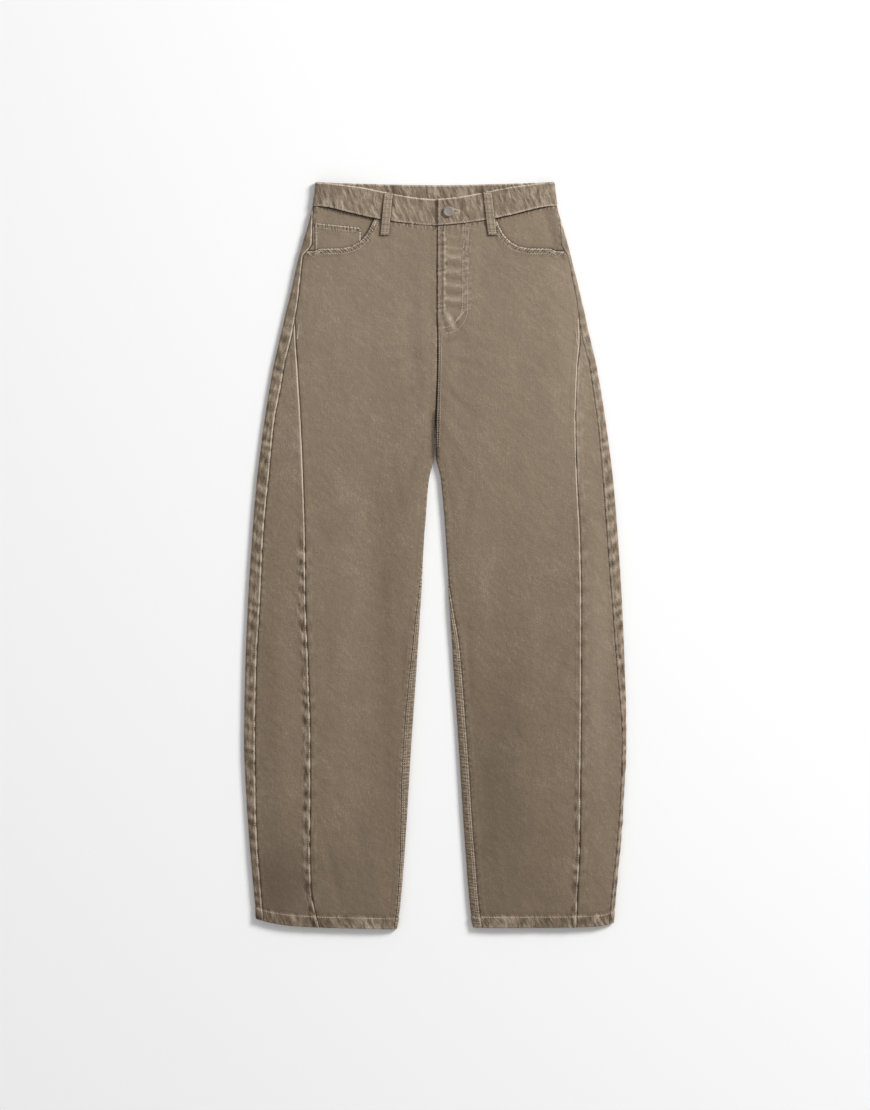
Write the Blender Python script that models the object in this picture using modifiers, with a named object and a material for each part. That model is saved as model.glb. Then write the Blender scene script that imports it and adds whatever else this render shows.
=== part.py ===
"""Barrel leg trousers in washed cotton twill, laid flat on their back with the front up.

The frame: +Z is up, away from the surface they lie on, +Y runs to the waist and +X to the wearer's left.
The origin is at the middle of the footprint, on the surface.
Every cloth piece is a wall between two skins. The skins are worked out from rings round each leg, so pieces
that are sewn together meet along the same line of the same ring, a seam's gap apart.
Sizes in the tables are in millimetres. "Drop" is the distance down from the waist at the side, and "across"
is the distance from the centre line.
"""

import math

import bpy
import numpy as np

MM = 0.001

LENGTH = 1031.0
CLOTH = 1.6
SEAM_GAP = 0.3
FOLD_SEAM_GAP = 0.7
RIGHT, LEFT = -1, 1

# The lie of the tube: half width at the outer fold, half gap between the legs, height of the cloth at the
# middle of the leg, height of the fold's middle, widths over which the cloth rounds off to each fold, and how
# full the body is at the centre line, from 1 where it is level to 0 where two legs begin.
LIE = [
    ("drop", "edge", "gap", "loft", "fold", "outer_round", "inner_round", "fullness"),
    (0, 164.0, 0.0, 12.4, 4.8, 40, 30, 1.0),
    (33, 168.5, 0.0, 12.3, 4.6, 40, 30, 1.0),
    (58, 174.4, 0.0, 12.2, 4.3, 40, 30, 1.0),
    (80, 181.5, 0.0, 12.0, 4.0, 42, 30, 1.0),
    (135, 195.0, 0.0, 11.0, 3.6, 46, 28, 1.0),
    (215, 214.0, 0.0, 10.0, 3.4, 52, 24, 0.92),
    (255, 223.0, 0.0, 9.8, 3.3, 54, 20, 0.5),
    (300, 231.0, 0.0, 9.6, 3.3, 56, 18, 0.2),
    (374, 241.5, 0.15, 9.4, 3.3, 56, 18, 0.0),
    (412, 246.0, 7.6, 9.3, 3.3, 56, 24, 0.0),
    (470, 251.0, 12.8, 9.3, 3.3, 56, 32, 0.0),
    (577, 258.0, 19.5, 9.3, 3.3, 58, 42, 0.0),
    (690, 262.5, 26.5, 9.3, 3.3, 60, 50, 0.0),
    (770, 263.6, 32.0, 9.3, 3.3, 60, 52, 0.0),
    (853, 260.2, 37.0, 9.3, 3.3, 58, 50, 0.0),
    (940, 253.7, 43.0, 9.3, 3.4, 52, 46, 0.0),
    (1000, 247.9, 48.0, 9.4, 3.6, 44, 42, 0.0),
    (1031, 245.0, 53.0, 9.5, 3.7, 40, 38, 0.0),
]

# Across to the seams on the outside of each leg, as they lie: the outseam, where the back comes round the fold
# onto the front, and the seam between the side panel and the front.
SEAMS = [
    ("drop", "right_outseam", "right_panel_seam", "left_outseam", "left_panel_seam"),
    (33, 168.1, 167.5, 168.1, 167.5),
    (60, 169.0, 168.4, 173.3, 172.7),
    (86, 170.0, 169.4, 174.5, 173.9),
    (104, 182.0, 181.4, 183.2, 182.6),
    (128, 185.0, 184.4, 188.6, 188.0),
    (156, 188.0, 187.4, 194.2, 193.6),
    (190, 193.5, 192.9, 199.0, 198.4),
    (217, 198.7, 192.2, 203.6, 199.6),
    (250, 207.0, 190.0, 212.6, 197.0),
    (283, 212.5, 188.0, 217.6, 195.2),
    (330, 221.5, 185.0, 224.3, 194.0),
    (411, 229.5, 181.7, 231.8, 196.0),
    (490, 236.8, 179.2, 237.6, 200.0),
    (580, 241.3, 178.2, 244.4, 201.7),
    (670, 246.4, 174.7, 251.4, 201.7),
    (770, 248.0, 171.8, 258.4, 201.0),
    (850, 247.3, 171.7, 256.0, 200.4),
    (920, 244.5, 172.3, 250.8, 199.7),
    (975, 240.2, 170.6, 244.9, 197.0),
    (1031, 235.6, 159.0, 239.6, 194.8),
]

# The inside leg seam: how far in from the inner fold it lies, below zero where it is on the underside.
INSEAM = [
    ("drop", "right_inset", "left_inset"),
    (374, 0.0, 0.0),
    (480, 0.0, -0.2),
    (520, 0.8, 0.2),
    (560, 3.0, 1.8),
    (600, 5.6, 5.8),
    (640, 7.4, 10.0),
    (690, 9.7, 11.3),
    (750, 11.0, 11.6),
    (820, 10.6, 12.2),
    (880, 8.0, 12.2),
    (940, 5.4, 12.6),
    (1031, 4.0, 12.4),
]

# The waistband's upper edge and its seam, on the front and on the back.
WAIST = [
    ("across", "front_top", "front_seam", "back_top", "back_seam"),
    (0, 24.4, 60.9, 4.8, 43.0),
    (30, 21.6, 58.6, 4.5, 42.4),
    (65, 15.3, 54.0, 3.8, 40.8),
    (100, 8.2, 47.2, 2.8, 38.4),
    (130, 4.0, 39.8, 1.8, 35.8),
    (150, 1.7, 35.2, 1.0, 34.2),
    (170, 0.4, 33.1, 0.4, 33.1),
]

# The curved mouth of the front pocket, from the waistband's seam round to the side seam.
POCKET_MOUTH = [
    ("across", "drop"),
    (84, 51.0),
    (90, 64.5),
    (97, 75.5),
    (106, 84.0),
    (117, 89.4),
    (131, 92.0),
    (158, 92.5),
    (167, 96.0),
]
POCKET_LEVEL = 96.0

# The hem's lower edge. The wearer's right leg lies turned a little, so its hem runs lower on the inside.
HEM = [
    ("across", "right_drop", "left_drop"),
    (30, 1031.0, 1026.0),
    (60, 1030.5, 1028.5),
    (130, 1029.0, 1028.5),
    (190, 1026.5, 1028.0),
    (225, 1022.0, 1026.5),
    (250, 1015.0, 1021.0),
]

# The largest folds of the front: a soft trough or ridge runs from a head to a foot, and has a width and a
# height, below zero for a trough.
FOLDS = [
    ("leg", "head_across", "head_drop", "foot_across", "foot_drop", "width", "height"),
    (RIGHT, 36, 150, 31, 318, 13, -1.2),
    (RIGHT, 14, 120, 17, 250, 10, 0.4),
    (RIGHT, 112, 270, 108, 470, 20, 0.5),
    (RIGHT, 92, 400, 74, 640, 22, -1.3),
    (RIGHT, 120, 480, 114, 800, 20, 0.6),
    (RIGHT, 212, 540, 205, 660, 16, -1.0),
    (RIGHT, 214, 905, 196, 985, 24, -1.2),
    (RIGHT, 128, 880, 122, 980, 20, 0.5),
    (LEFT, 30, 150, 36, 300, 13, -0.9),
    (LEFT, 70, 300, 62, 520, 24, 0.5),
    (LEFT, 96, 560, 92, 860, 26, -1.1),
    (LEFT, 224, 480, 228, 640, 15, 0.6),
    (LEFT, 222, 700, 246, 768, 14, -1.4),
    (LEFT, 160, 900, 126, 1000, 18, -0.8),
]

CENTRE_SHIFT = 3.6
CENTRE_SHIFT_ENDS = (235.0, 370.0)
FORK_STARTS, CROTCH = 335.0, 374.0
SPACING_CHANGES = (290.0, 372.0)

HIP_LEVEL = 190.0
LATTICE_START = (100.0, 150.0)
FRONT_MIDDLE = 0.6
HALVINGS, PAST_CENTRE_WAY = 40, 1.3
FOLD_FADE, FOLD_SPAN = 4, 2.2
HEM_HEIGHT, HEM_EXTRA, HEM_STEP = 17.0, 1.2, 2.0

BAND_PROUD, BAND_DEPTH = 0.8, 2.2
BAND_UNDERLAP = 36.0
BAND_RAISE, BAND_RAISE_ENDS = 1.9, (40.0, 60.0)
BAND_SINK, BAND_SINK_ENDS = 1.5, (6.0, 46.0)

FLY_UNDERLAP, FLY_ROUND = 22.0, 26.0
FLY_RAISE, FLY_RAISE_ENDS = 1.0, (46.0, 66.0)
FLY_SINK, FLY_SINK_ENDS = 1.1, (0.0, 34.0)
FLY_FADE = (192.0, 226.0)

FACING_SINK, FACING_UNDERLAP, FACING_INNER, FACING_CLEAR = 3.3, 9.0, 77.0, 0.3
FACING_SINK_ENDS, FACING_UNDERLAP_ENDS = (4.0, 22.0), (142.0, 160.0)
COIN_POCKET = {"inner": 102.0, "outer": 165.0, "top_inner": 63.5, "top_outer": 57.0, "bottom": 95.5}
COIN_CLOTH, COIN_GAP = 1.0, 0.45

LOOP_WIDTH, LOOP_CLOTH, LOOP_BOTTOM, LOOP_BOW = 11.5, 1.8, 74.0, 0.7
LOOP_STEP = (2.0, 9.0)
LOOP_ACROSS = {RIGHT: (64.0, 69.5), LEFT: (72.0, 79.0)}

BUTTON_ACROSS, BUTTON_DROP = 18.6, 41.8
BUTTON_RADIUS, BUTTON_THICK, SHANK_RADIUS, SHANK_LENGTH = 7.2, 2.4, 3.6, 1.0

CLOTH_COLOUR = (0.235, 0.178, 0.125, 1.0)
METAL_COLOUR = (0.30, 0.26, 0.24, 1.0)


def column(table, x_name, y_name):
    """A smooth function through two columns of a table: cubic pieces that never overshoot a row. The slope at a
    row is the harmonic mean of the slopes on its two sides, or level at a turn. Past the ends it stays level."""
    names = table[0]
    rows = np.array(table[1:], float)
    x, y = rows[:, names.index(x_name)], rows[:, names.index(y_name)]
    run = np.diff(y) / np.diff(x)
    before, after = run[:-1], run[1:]
    same_way = before * after > 0
    mean = 2 * before * after / np.where(same_way, before + after, 1)
    slope = np.concatenate([run[:1], np.where(same_way, mean, 0), run[-1:]])

    def at(value):
        value = np.clip(value, x[0], x[-1])
        i = np.clip(np.searchsorted(x, value) - 1, 0, len(x) - 2)
        step = x[i + 1] - x[i]
        t = (value - x[i]) / step
        return (
            y[i] * (1 + 2 * t) * (1 - t) ** 2
            + slope[i] * step * t * (1 - t) ** 2
            + y[i + 1] * t * t * (3 - 2 * t)
            + slope[i + 1] * step * t * t * (t - 1)
        )

    return at


def eased(value, ends):
    """0 before the first end, 1 after the second, and a smooth step between."""
    t = np.clip((value - ends[0]) / (ends[1] - ends[0]), 0, 1)
    return t * t * (3 - 2 * t)


lie = {name: column(LIE, "drop", name) for name in LIE[0][1:]}
seams = {name: column(SEAMS, "drop", name) for name in SEAMS[0][1:]}
waist = {name: column(WAIST, "across", name) for name in WAIST[0][1:]}
inset = {RIGHT: column(INSEAM, "drop", "right_inset"), LEFT: column(INSEAM, "drop", "left_inset")}
pocket_mouth = column(POCKET_MOUTH, "across", "drop")
hem_edge = {RIGHT: column(HEM, "across", "right_drop"), LEFT: column(HEM, "across", "left_drop")}
outseam_line = {RIGHT: seams["right_outseam"], LEFT: seams["left_outseam"]}
panel_line = {RIGHT: seams["right_panel_seam"], LEFT: seams["left_panel_seam"]}


def inner_line(leg, drop):
    """Across to the inner fold of the leg, or above the crotch to the centre seam, which sits a little to the
    wearer's left."""
    shift = CENTRE_SHIFT * (1 - eased(drop, CENTRE_SHIFT_ENDS))
    return lie["gap"](drop) + leg * shift


def reach(way, drop):
    """Share of the width from the inner line to the outer fold, 1 at the outer fold where way is 0 and 0 at the
    inner line where way is 1. Points crowd at the folds, and above the crotch at the outer fold alone."""
    legs = eased(drop, SPACING_CHANGES)
    return (1 - legs) * np.cos(math.pi * way / 2) + legs * (1 + np.cos(math.pi * way)) / 2


def across_of(leg, way, drop):
    inner = inner_line(leg, drop)
    return inner + (lie["edge"](drop) - inner) * reach(way, drop)


def way_to(leg, across, drop):
    """The way round the front at which the ring lies this far across, found by halving. Above the crotch it may
    lie past the centre line."""
    low, high = np.zeros_like(drop), np.where(drop < SPACING_CHANGES[0], PAST_CENTRE_WAY, 1.0)
    for _ in range(HALVINGS):
        middle = (low + high) / 2
        beyond = across_of(leg, middle, drop) > across
        low, high = np.where(beyond, middle, low), np.where(beyond, high, middle)
    return (low + high) / 2


def arc_rise(distance, radius):
    """Height of a quarter circle, from 0 at its foot to its radius."""
    distance = np.clip(distance, 0, radius)
    return np.sqrt(np.maximum(radius**2 - (radius - distance) ** 2, 0))


def swell(distance, width):
    """Rises from 0 and levels off at 1 over the width."""
    return 1 - (1 - np.clip(distance / width, 0, 1)) ** 2


def fold_height(leg, across, drop):
    """The sum of the leg's folds: each is a bell across its line, and fades towards its ends."""
    height = np.zeros(np.broadcast(across, drop).shape)
    for side, ax, ad, bx, bd, width, tall in FOLDS[1:]:
        if side != leg:
            continue
        run = math.hypot(bx - ax, bd - ad)
        ux, ud = (bx - ax) / run, (bd - ad) / run
        along = ((across - ax) * ux + (drop - ad) * ud) / run
        off = (across - ax) * ud - (drop - ad) * ux
        ends = np.exp(-((FOLD_SPAN * (along - 0.5)) ** FOLD_FADE))
        height += tall * np.exp(-((off / width) ** 2)) * ends
    return height


def front_height(leg, across, drop):
    """Height of the upper cloth: a quarter round at each fold, a swell beyond it, and the folds."""
    fold, full = lie["fold"](drop), lie["fullness"](drop)
    outer = lie["edge"](drop) - across
    inner = across - inner_line(leg, drop)
    turn = arc_rise(outer, fold) * (full + (1 - full) * arc_rise(inner, fold) / fold)
    crown = swell(outer, lie["outer_round"](drop))
    crown = crown * (full + (1 - full) * swell(inner, lie["inner_round"](drop)))
    return fold + turn + (lie["loft"](drop) - 2 * fold) * crown + fold_height(leg, across, drop) * crown


def back_height(leg, across, drop):
    """Height of the lower cloth: flat on the surface, with a quarter round up to each fold."""
    fold = lie["fold"](drop)
    fork = fold * eased(drop, (FORK_STARTS, CROTCH))
    outer = lie["edge"](drop) - across
    inner = across - inner_line(leg, drop)
    return fold - arc_rise(outer, fold) + fork - arc_rise(inner, fork)


def ring(leg, way, drop, past_centre=False):
    """Across and height of the cloth's outer skin. Way runs from 0 at the outer fold over the front to 1 at the
    inner line, and on under the back to 2 at the outer fold again. A piece that runs past the centre line
    stays on the front."""
    way, drop = np.broadcast_arrays(np.asarray(way, float), np.asarray(drop, float))
    past = past_centre & (way > 1) & (way < 1.5)
    under = (way % 2 > 1) & ~past
    front_way = np.where(past, way, np.where(under, 2 - way % 2, way % 2))
    across = across_of(leg, front_way, drop)
    above = np.where(past, front_height(-leg, -across, drop), front_height(leg, across, drop))
    return across, np.where(under, back_height(leg, across, drop), above)


def skin(leg, way, drop, lift=0.0, past_centre=False):
    """Points in millimetres on the ring, moved out of the cloth by lift, and never below the surface."""
    step = 1e-4
    across, height = ring(leg, way, drop, past_centre)
    a0, h0 = ring(leg, way - step, drop, past_centre)
    a1, h1 = ring(leg, way + step, drop, past_centre)
    run = np.hypot(a1 - a0, h1 - h0)
    across = across + lift * (h1 - h0) / run
    height = np.maximum(height - lift * (a1 - a0) / run, 0)
    return np.stack([leg * across, LENGTH / 2 - drop + 0 * across, height], -1)


def shifted(leg, way, drop, distance, past_centre=False):
    """The way this distance further round the ring, judged on the side that it moves to."""
    side = -1 if distance < 0 else 1
    near, far = 1e-6 * side, 1e-3 * side
    a0, h0 = ring(leg, way + near, drop, past_centre)
    a1, h1 = ring(leg, way + far, drop, past_centre)
    return way + (far - near) * abs(distance) / np.hypot(a1 - a0, h1 - h0)


def spread(counts):
    """A list of (stretch, share) pairs: the columns or rows of a piece, with a count for each stretch."""
    stops = [(k, j / n) for k, n in enumerate(counts) for j in range(n)]
    return stops + [(len(counts) - 1, 1.0)]


def lattice(leg, ways, way_counts, drops, drop_counts):
    """Way and drop at each point of a piece. Ways are functions of drop, from one edge to the other, and drops
    are functions of across. Each holds at its own line, so the two are worked out in turn."""
    columns, rows = spread(way_counts), spread(drop_counts)
    first, last = drops[0](LATTICE_START[0]), drops[-1](LATTICE_START[1])
    drop = np.repeat(np.linspace(first, last, len(rows))[:, None], len(columns), axis=1)
    way = np.zeros_like(drop)
    for _ in range(8):
        for j, (k, share) in enumerate(columns):
            low, high = ways[k](drop[:, j]), ways[k + 1](drop[:, j])
            way[:, j] = low + (high - low) * share
        front = np.where(way % 2 > 1, 2 - way % 2, way % 2)
        across = across_of(leg, front, drop)
        for i, (k, share) in enumerate(rows):
            upper, lower = drops[k](across[i]), drops[k + 1](across[i])
            drop[i] = upper + (lower - upper) * share
    return way, drop


def material(name, colour, roughness, metallic=0.0):
    found = bpy.data.materials.new(name)
    found.use_nodes = True
    shader = found.node_tree.nodes["Principled BSDF"]
    shader.inputs["Base Color"].default_value = colour
    shader.inputs["Roughness"].default_value = roughness
    shader.inputs["Metallic"].default_value = metallic
    return found


def add_mesh(name, points, faces, finish):
    mesh = bpy.data.meshes.new(name)
    mesh.from_pydata((np.asarray(points) * MM).tolist(), [], faces)
    mesh.validate()
    mesh.materials.append(finish)
    obj = bpy.data.objects.new(name, mesh)
    trousers.objects.link(obj)
    mesh.shade_smooth()
    mesh.set_sharp_from_angle(angle=math.radians(40))
    return obj


def wall(name, outer, inner, finish):
    """A closed wall lofted between an outer and an inner skin, each a grid of rows and columns of points."""
    rows, columns = outer.shape[:2]
    points = np.concatenate([outer.reshape(-1, 3), inner.reshape(-1, 3)])
    count = rows * columns

    def at(i, j, side):
        return side * count + i * columns + j

    faces = []
    for i in range(rows - 1):
        for j in range(columns - 1):
            quad = [(i, j), (i + 1, j), (i + 1, j + 1), (i, j + 1)]
            faces.append([at(*corner, 0) for corner in quad])
            faces.append([at(*corner, 1) for corner in reversed(quad)])
    border = [(0, j) for j in range(columns - 1)]
    border += [(i, columns - 1) for i in range(rows - 1)]
    border += [(rows - 1, j) for j in range(columns - 1, 0, -1)]
    border += [(i, 0) for i in range(rows - 1, 0, -1)]
    for here, after in zip(border, border[1:] + border[:1]):
        faces.append([at(*here, 0), at(*after, 0), at(*after, 1), at(*here, 1)])
    normal = np.cross(outer[1, 0] - outer[0, 0], outer[0, 1] - outer[0, 0])
    if normal @ (outer[0, 0] - inner[0, 0]) < 0:
        faces = [face[::-1] for face in faces]
    return add_mesh(name, points, faces, finish)


def side_name(leg):
    return "right" if leg == RIGHT else "left"


def hem_thickness(leg, way, drop):
    """How much the turned-up hem adds to the cloth."""
    front = np.where(way % 2 > 1, 2 - way % 2, way % 2)
    bottom = hem_edge[leg](across_of(leg, front, drop))
    return HEM_EXTRA * eased(drop, (bottom - HEM_HEIGHT, bottom - HEM_HEIGHT + HEM_STEP))


def outseam(leg, drop, distance=0.0):
    """Way to the seam between the back and what lies beside it on the front, moved round by a distance."""
    return shifted(leg, way_to(leg, outseam_line[leg](drop), drop), drop, distance)


def panel_seam(leg, drop, distance=0.0):
    """Way to the seam between the side panel and the front."""
    return shifted(leg, way_to(leg, panel_line[leg](drop), drop), drop, distance)


def inseam(leg, drop, distance=0.0):
    """Way to the inside leg seam, and above the crotch to the centre seam, where the inset is nothing."""
    inward = inset[leg](drop)
    way = way_to(leg, inner_line(leg, drop) + np.abs(inward), drop)
    return shifted(leg, np.where(inward < 0, 2 - way, way), drop, distance)


def level(drop):
    """A row line that runs level across the piece."""
    return lambda across: drop + 0 * across


def leg_rows(leg, tops, counts):
    """The lines that a leg piece's rows run between: its own upper lines, then the crotch, the hem's fold, the
    hem's step and the edge. Neighbours share them, so their rows meet along each seam."""
    lines = tops + [
        level(CROTCH),
        lambda across: hem_edge[leg](across) - HEM_HEIGHT,
        lambda across: hem_edge[leg](across) - HEM_HEIGHT + HEM_STEP,
        hem_edge[leg],
    ]
    return lines, counts + [7, 18, 1, 2]


def front_top(across):
    """The front's upper edge: under the waistband, and round the pocket mouth."""
    return np.where(across < POCKET_MOUTH[1][0], waist["front_seam"](across) + SEAM_GAP, pocket_mouth(across))


def fly_lift(leg, across, drop):
    """The wearer's left front rises over the fly's underlap, and the right front sinks under it."""
    size, ends = (FLY_RAISE, FLY_RAISE_ENDS) if leg == LEFT else (-FLY_SINK, FLY_SINK_ENDS)
    return size * (1 - eased(across, ends)) * (1 - eased(drop, FLY_FADE))


def front(leg):
    """The main front, from the waistband and the pocket mouth to the hem. The side panel or, above it, the back
    lies on its outer side. The wearer's right front carries the fly's underlap."""
    half = SEAM_GAP / 2

    def outer_way(drop):
        return np.where(drop < HIP_LEVEL, outseam(leg, drop, half), panel_seam(leg, drop, half))

    def inner_way(drop):
        plain = inseam(leg, drop, -FOLD_SEAM_GAP / 2)
        if leg == LEFT:
            return plain
        under = way_to(leg, inner_line(leg, drop) - FLY_UNDERLAP, drop)
        share = 1 - eased(drop, (HIP_LEVEL - FLY_ROUND, HIP_LEVEL))
        return plain + (under - plain) * share

    def middle_way(drop):
        return outer_way(drop) + (inner_way(drop) - outer_way(drop)) * FRONT_MIDDLE

    lines, counts = leg_rows(leg, [front_top, level(HIP_LEVEL)], [6])
    way, drop = lattice(leg, [outer_way, middle_way, inner_way], [9, 8], lines, counts)
    past = (leg == RIGHT) & (drop < HIP_LEVEL) & (way > 0.9)
    extra = hem_thickness(leg, way, drop)
    across = np.where(past, ring(leg, way, drop, True)[0], ring(leg, way, drop)[0])
    raised = fly_lift(leg, across, drop)

    def placed(lift):
        return np.where(past[..., None], skin(leg, way, drop, lift, True), skin(leg, way, drop, lift))

    wall(
        f"front_{side_name(leg)}",
        placed(raised + extra / 2),
        placed(raised - CLOTH - extra / 2),
        cloth,
    )


def side_panel(leg):
    """The long wedge that rounds the leg: it starts as a point at the hip and runs to the hem."""
    half = SEAM_GAP / 2
    lines, counts = leg_rows(leg, [level(HIP_LEVEL)], [])
    ways = [lambda drop: outseam(leg, drop, half), lambda drop: panel_seam(leg, drop, -half)]
    way, drop = lattice(leg, ways, [4], lines, counts)
    extra = hem_thickness(leg, way, drop)
    wall(
        f"side_panel_{side_name(leg)}",
        skin(leg, way, drop, extra / 2),
        skin(leg, way, drop, -CLOTH - extra / 2),
        cloth,
    )


def back(leg):
    """The back, flat on the surface from the centre to the outer fold and round it to the outseam."""
    half = SEAM_GAP / 2

    def top(across):
        return waist["back_seam"](across) + SEAM_GAP

    lines, counts = leg_rows(leg, [top, level(POCKET_LEVEL), level(HIP_LEVEL)], [5, 6])
    ways = [
        lambda drop: inseam(leg, drop, FOLD_SEAM_GAP / 2),
        lambda drop: 2 + 0 * drop,
        lambda drop: 2 + outseam(leg, drop, -half),
    ]
    way, drop = lattice(leg, ways, [11, 5], lines, counts)
    extra = hem_thickness(leg, way, drop)
    wall(
        f"back_{side_name(leg)}",
        skin(leg, way, drop, extra / 2),
        skin(leg, way, drop, -CLOTH - extra / 2),
        cloth,
    )


def facing_sink(leg, across, drop):
    """How far the pocket's facing lies below the front. It comes up to the back at the side seam."""
    return FACING_SINK * eased(lie["edge"](drop) - across, FACING_SINK_ENDS)


def pocket_facing(leg):
    """The hip piece that shows in the pocket's mouth. It runs on under the front, but for its outer end, which
    meets the front's edge at the side seam."""
    half = SEAM_GAP / 2

    def upper(across):
        return waist["front_seam"](across) + SEAM_GAP

    def lower(across):
        mouth = np.maximum(pocket_mouth(across), POCKET_MOUTH[2][1])
        under = FACING_UNDERLAP * (1 - eased(across, FACING_UNDERLAP_ENDS))
        return mouth + under - SEAM_GAP

    ways = [
        lambda drop: outseam(leg, drop, half + FACING_CLEAR),
        lambda drop: way_to(leg, FACING_INNER + 0 * drop, drop),
    ]
    way, drop = lattice(leg, ways, [10], [upper, lower], [5])
    across, _ = ring(leg, way, drop)
    sink = facing_sink(leg, across, drop)
    outer, inner = skin(leg, way, drop, -sink), skin(leg, way, drop, -sink - CLOTH)
    wall(f"pocket_facing_{side_name(leg)}", outer, inner, cloth)


def coin_pocket():
    """The small patch pocket on the wearer's right facing. Its lower end is behind the front's edge."""
    size = COIN_POCKET
    ways = [
        lambda drop: way_to(RIGHT, size["outer"] + 0 * drop, drop),
        lambda drop: way_to(RIGHT, size["inner"] + 0 * drop, drop),
    ]

    def top(across):
        share = (across - size["inner"]) / (size["outer"] - size["inner"])
        return size["top_inner"] + (size["top_outer"] - size["top_inner"]) * share

    way, drop = lattice(RIGHT, ways, [7], [top, level(size["bottom"])], [3])
    across, _ = ring(RIGHT, way, drop)
    sink = facing_sink(RIGHT, across, drop) - COIN_GAP
    wall("coin_pocket", skin(RIGHT, way, drop, COIN_CLOTH - sink), skin(RIGHT, way, drop, -sink), cloth)


def band_lift(leg, across):
    """The band's end on the wearer's left rises over the underlap of the other end, which sinks."""
    size, ends = (BAND_RAISE, BAND_RAISE_ENDS) if leg == LEFT else (-BAND_SINK, BAND_SINK_ENDS)
    return size * (1 - eased(across, ends))


def band_stretch(leg, ways, upper, lower, on_front):
    """Outer and inner skins of a stretch of the waistband, a column for each way."""
    share = np.linspace(0, 1, 4)[:, None]
    grid = np.broadcast_to(ways, (4, len(ways)))
    drop = 0 * grid
    for _ in range(4):
        across, _ = ring(leg, grid, drop, on_front)
        drop = upper(np.abs(across)) + (lower(np.abs(across)) - upper(np.abs(across))) * share
    lift = band_lift(leg, across) * on_front
    outer = skin(leg, grid, drop, BAND_PROUD + lift, on_front)
    inner = skin(leg, grid, drop, lift - BAND_DEPTH, on_front)
    return outer, inner


def waistband():
    """One strip: from the underlap on the front, round the wearer's right side, across the back, and round the
    left side to the end that buttons over the underlap."""
    level = np.array(40.0)
    under_end = float(way_to(RIGHT, np.array(-BAND_UNDERLAP), level))
    over_end = float(shifted(LEFT, 1.0, level, -SEAM_GAP / 2, True))
    stretches = [
        band_stretch(RIGHT, np.linspace(under_end, 0, 19), waist["front_top"], waist["front_seam"], True),
        band_stretch(RIGHT, 2 - np.linspace(0, 1 - 1e-6, 12), waist["back_top"], waist["back_seam"], False),
        band_stretch(LEFT, 1 + np.linspace(1e-6, 1, 12), waist["back_top"], waist["back_seam"], False),
        band_stretch(LEFT, np.linspace(0, over_end, 17), waist["front_top"], waist["front_seam"], True),
    ]
    outer = np.concatenate([stretches[0][0]] + [s[0][:, 1:] for s in stretches[1:]], axis=1)
    inner = np.concatenate([stretches[0][1]] + [s[1][:, 1:] for s in stretches[1:]], axis=1)
    wall("waistband", outer, inner, cloth)


def belt_loop(leg):
    """A narrow strip from the band's upper edge to below its seam, standing a little off the band."""
    upper, lower = LOOP_ACROSS[leg]
    top = float(waist["front_top"](np.array(upper))) + 1.0
    rows = np.linspace(0, 1, 9)[:, None]
    columns = np.linspace(-0.5, 0.5, 4)[None, :]
    drop = top + (LOOP_BOTTOM - top) * rows + 0 * columns
    across = upper + (lower - upper) * rows + LOOP_WIDTH * columns
    way = way_to(leg, across, drop)
    seam = waist["front_seam"](np.abs(across))
    rest = BAND_PROUD * (1 - eased(drop, (seam + LOOP_STEP[0], seam + LOOP_STEP[1])))
    base = rest + SEAM_GAP + LOOP_BOW * np.sin(math.pi * rows) ** 2
    outer, inner = skin(leg, way, drop, base + LOOP_CLOTH), skin(leg, way, drop, base)
    wall(f"belt_loop_{side_name(leg)}", outer, inner, cloth)


def button():
    """The shank button on the end of the waistband: a turned cap with a rounded rim, on a short shank."""
    profile = [
        (0.0, BUTTON_THICK),
        (BUTTON_RADIUS * 0.60, BUTTON_THICK),
        (BUTTON_RADIUS * 0.78, BUTTON_THICK - 0.25),
        (BUTTON_RADIUS * 0.90, BUTTON_THICK),
        (BUTTON_RADIUS, BUTTON_THICK - 0.7),
        (BUTTON_RADIUS, 0.6),
        (BUTTON_RADIUS * 0.92, 0.0),
        (SHANK_RADIUS, 0.0),
        (SHANK_RADIUS, -SHANK_LENGTH),
        (0.0, -SHANK_LENGTH),
    ]
    mesh = bpy.data.meshes.new("button")
    edges = [(i, i + 1) for i in range(len(profile) - 1)]
    mesh.from_pydata([(x * MM, 0, z * MM) for x, z in profile], edges, [])
    mesh.materials.append(metal)
    obj = bpy.data.objects.new("button", mesh)
    trousers.objects.link(obj)
    way = way_to(LEFT, np.array(BUTTON_ACROSS), np.array(BUTTON_DROP))
    seat = skin(LEFT, way, np.array(BUTTON_DROP), BAND_PROUD + float(band_lift(LEFT, BUTTON_ACROSS)))
    obj.location = np.array([seat[0], seat[1], seat[2] + SEAM_GAP + SHANK_LENGTH]) * MM
    turn = obj.modifiers.new("turn", "SCREW")
    turn.steps = turn.render_steps = 28
    turn.use_merge_vertices = True
    turn.merge_threshold = 0.0001
    turn.use_smooth_shade = True


for existing in list(bpy.data.objects):
    bpy.data.objects.remove(existing)
trousers = bpy.data.collections.new("barrel_leg_trousers")
bpy.context.scene.collection.children.link(trousers)
cloth = material("washed_twill", CLOTH_COLOUR, 0.9)
metal = material("button_metal", METAL_COLOUR, 0.45, 0.6)

for leg in (RIGHT, LEFT):
    front(leg)
    side_panel(leg)
    back(leg)
    pocket_facing(leg)
    belt_loop(leg)
coin_pocket()
waistband()
button()
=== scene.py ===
"""Barrel leg trousers in garment-washed cotton twill, laid flat on their back, as they really look.

Lengths in the tables are in millimetres, in the same terms as the solids: "drop" is the distance down from
the waist at the side, "across" the distance from the centre line, and "way" runs round a leg from 0 at the
outer fold over the front to 1 at the inner fold, and on under the back to 2.
"""

import math

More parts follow.
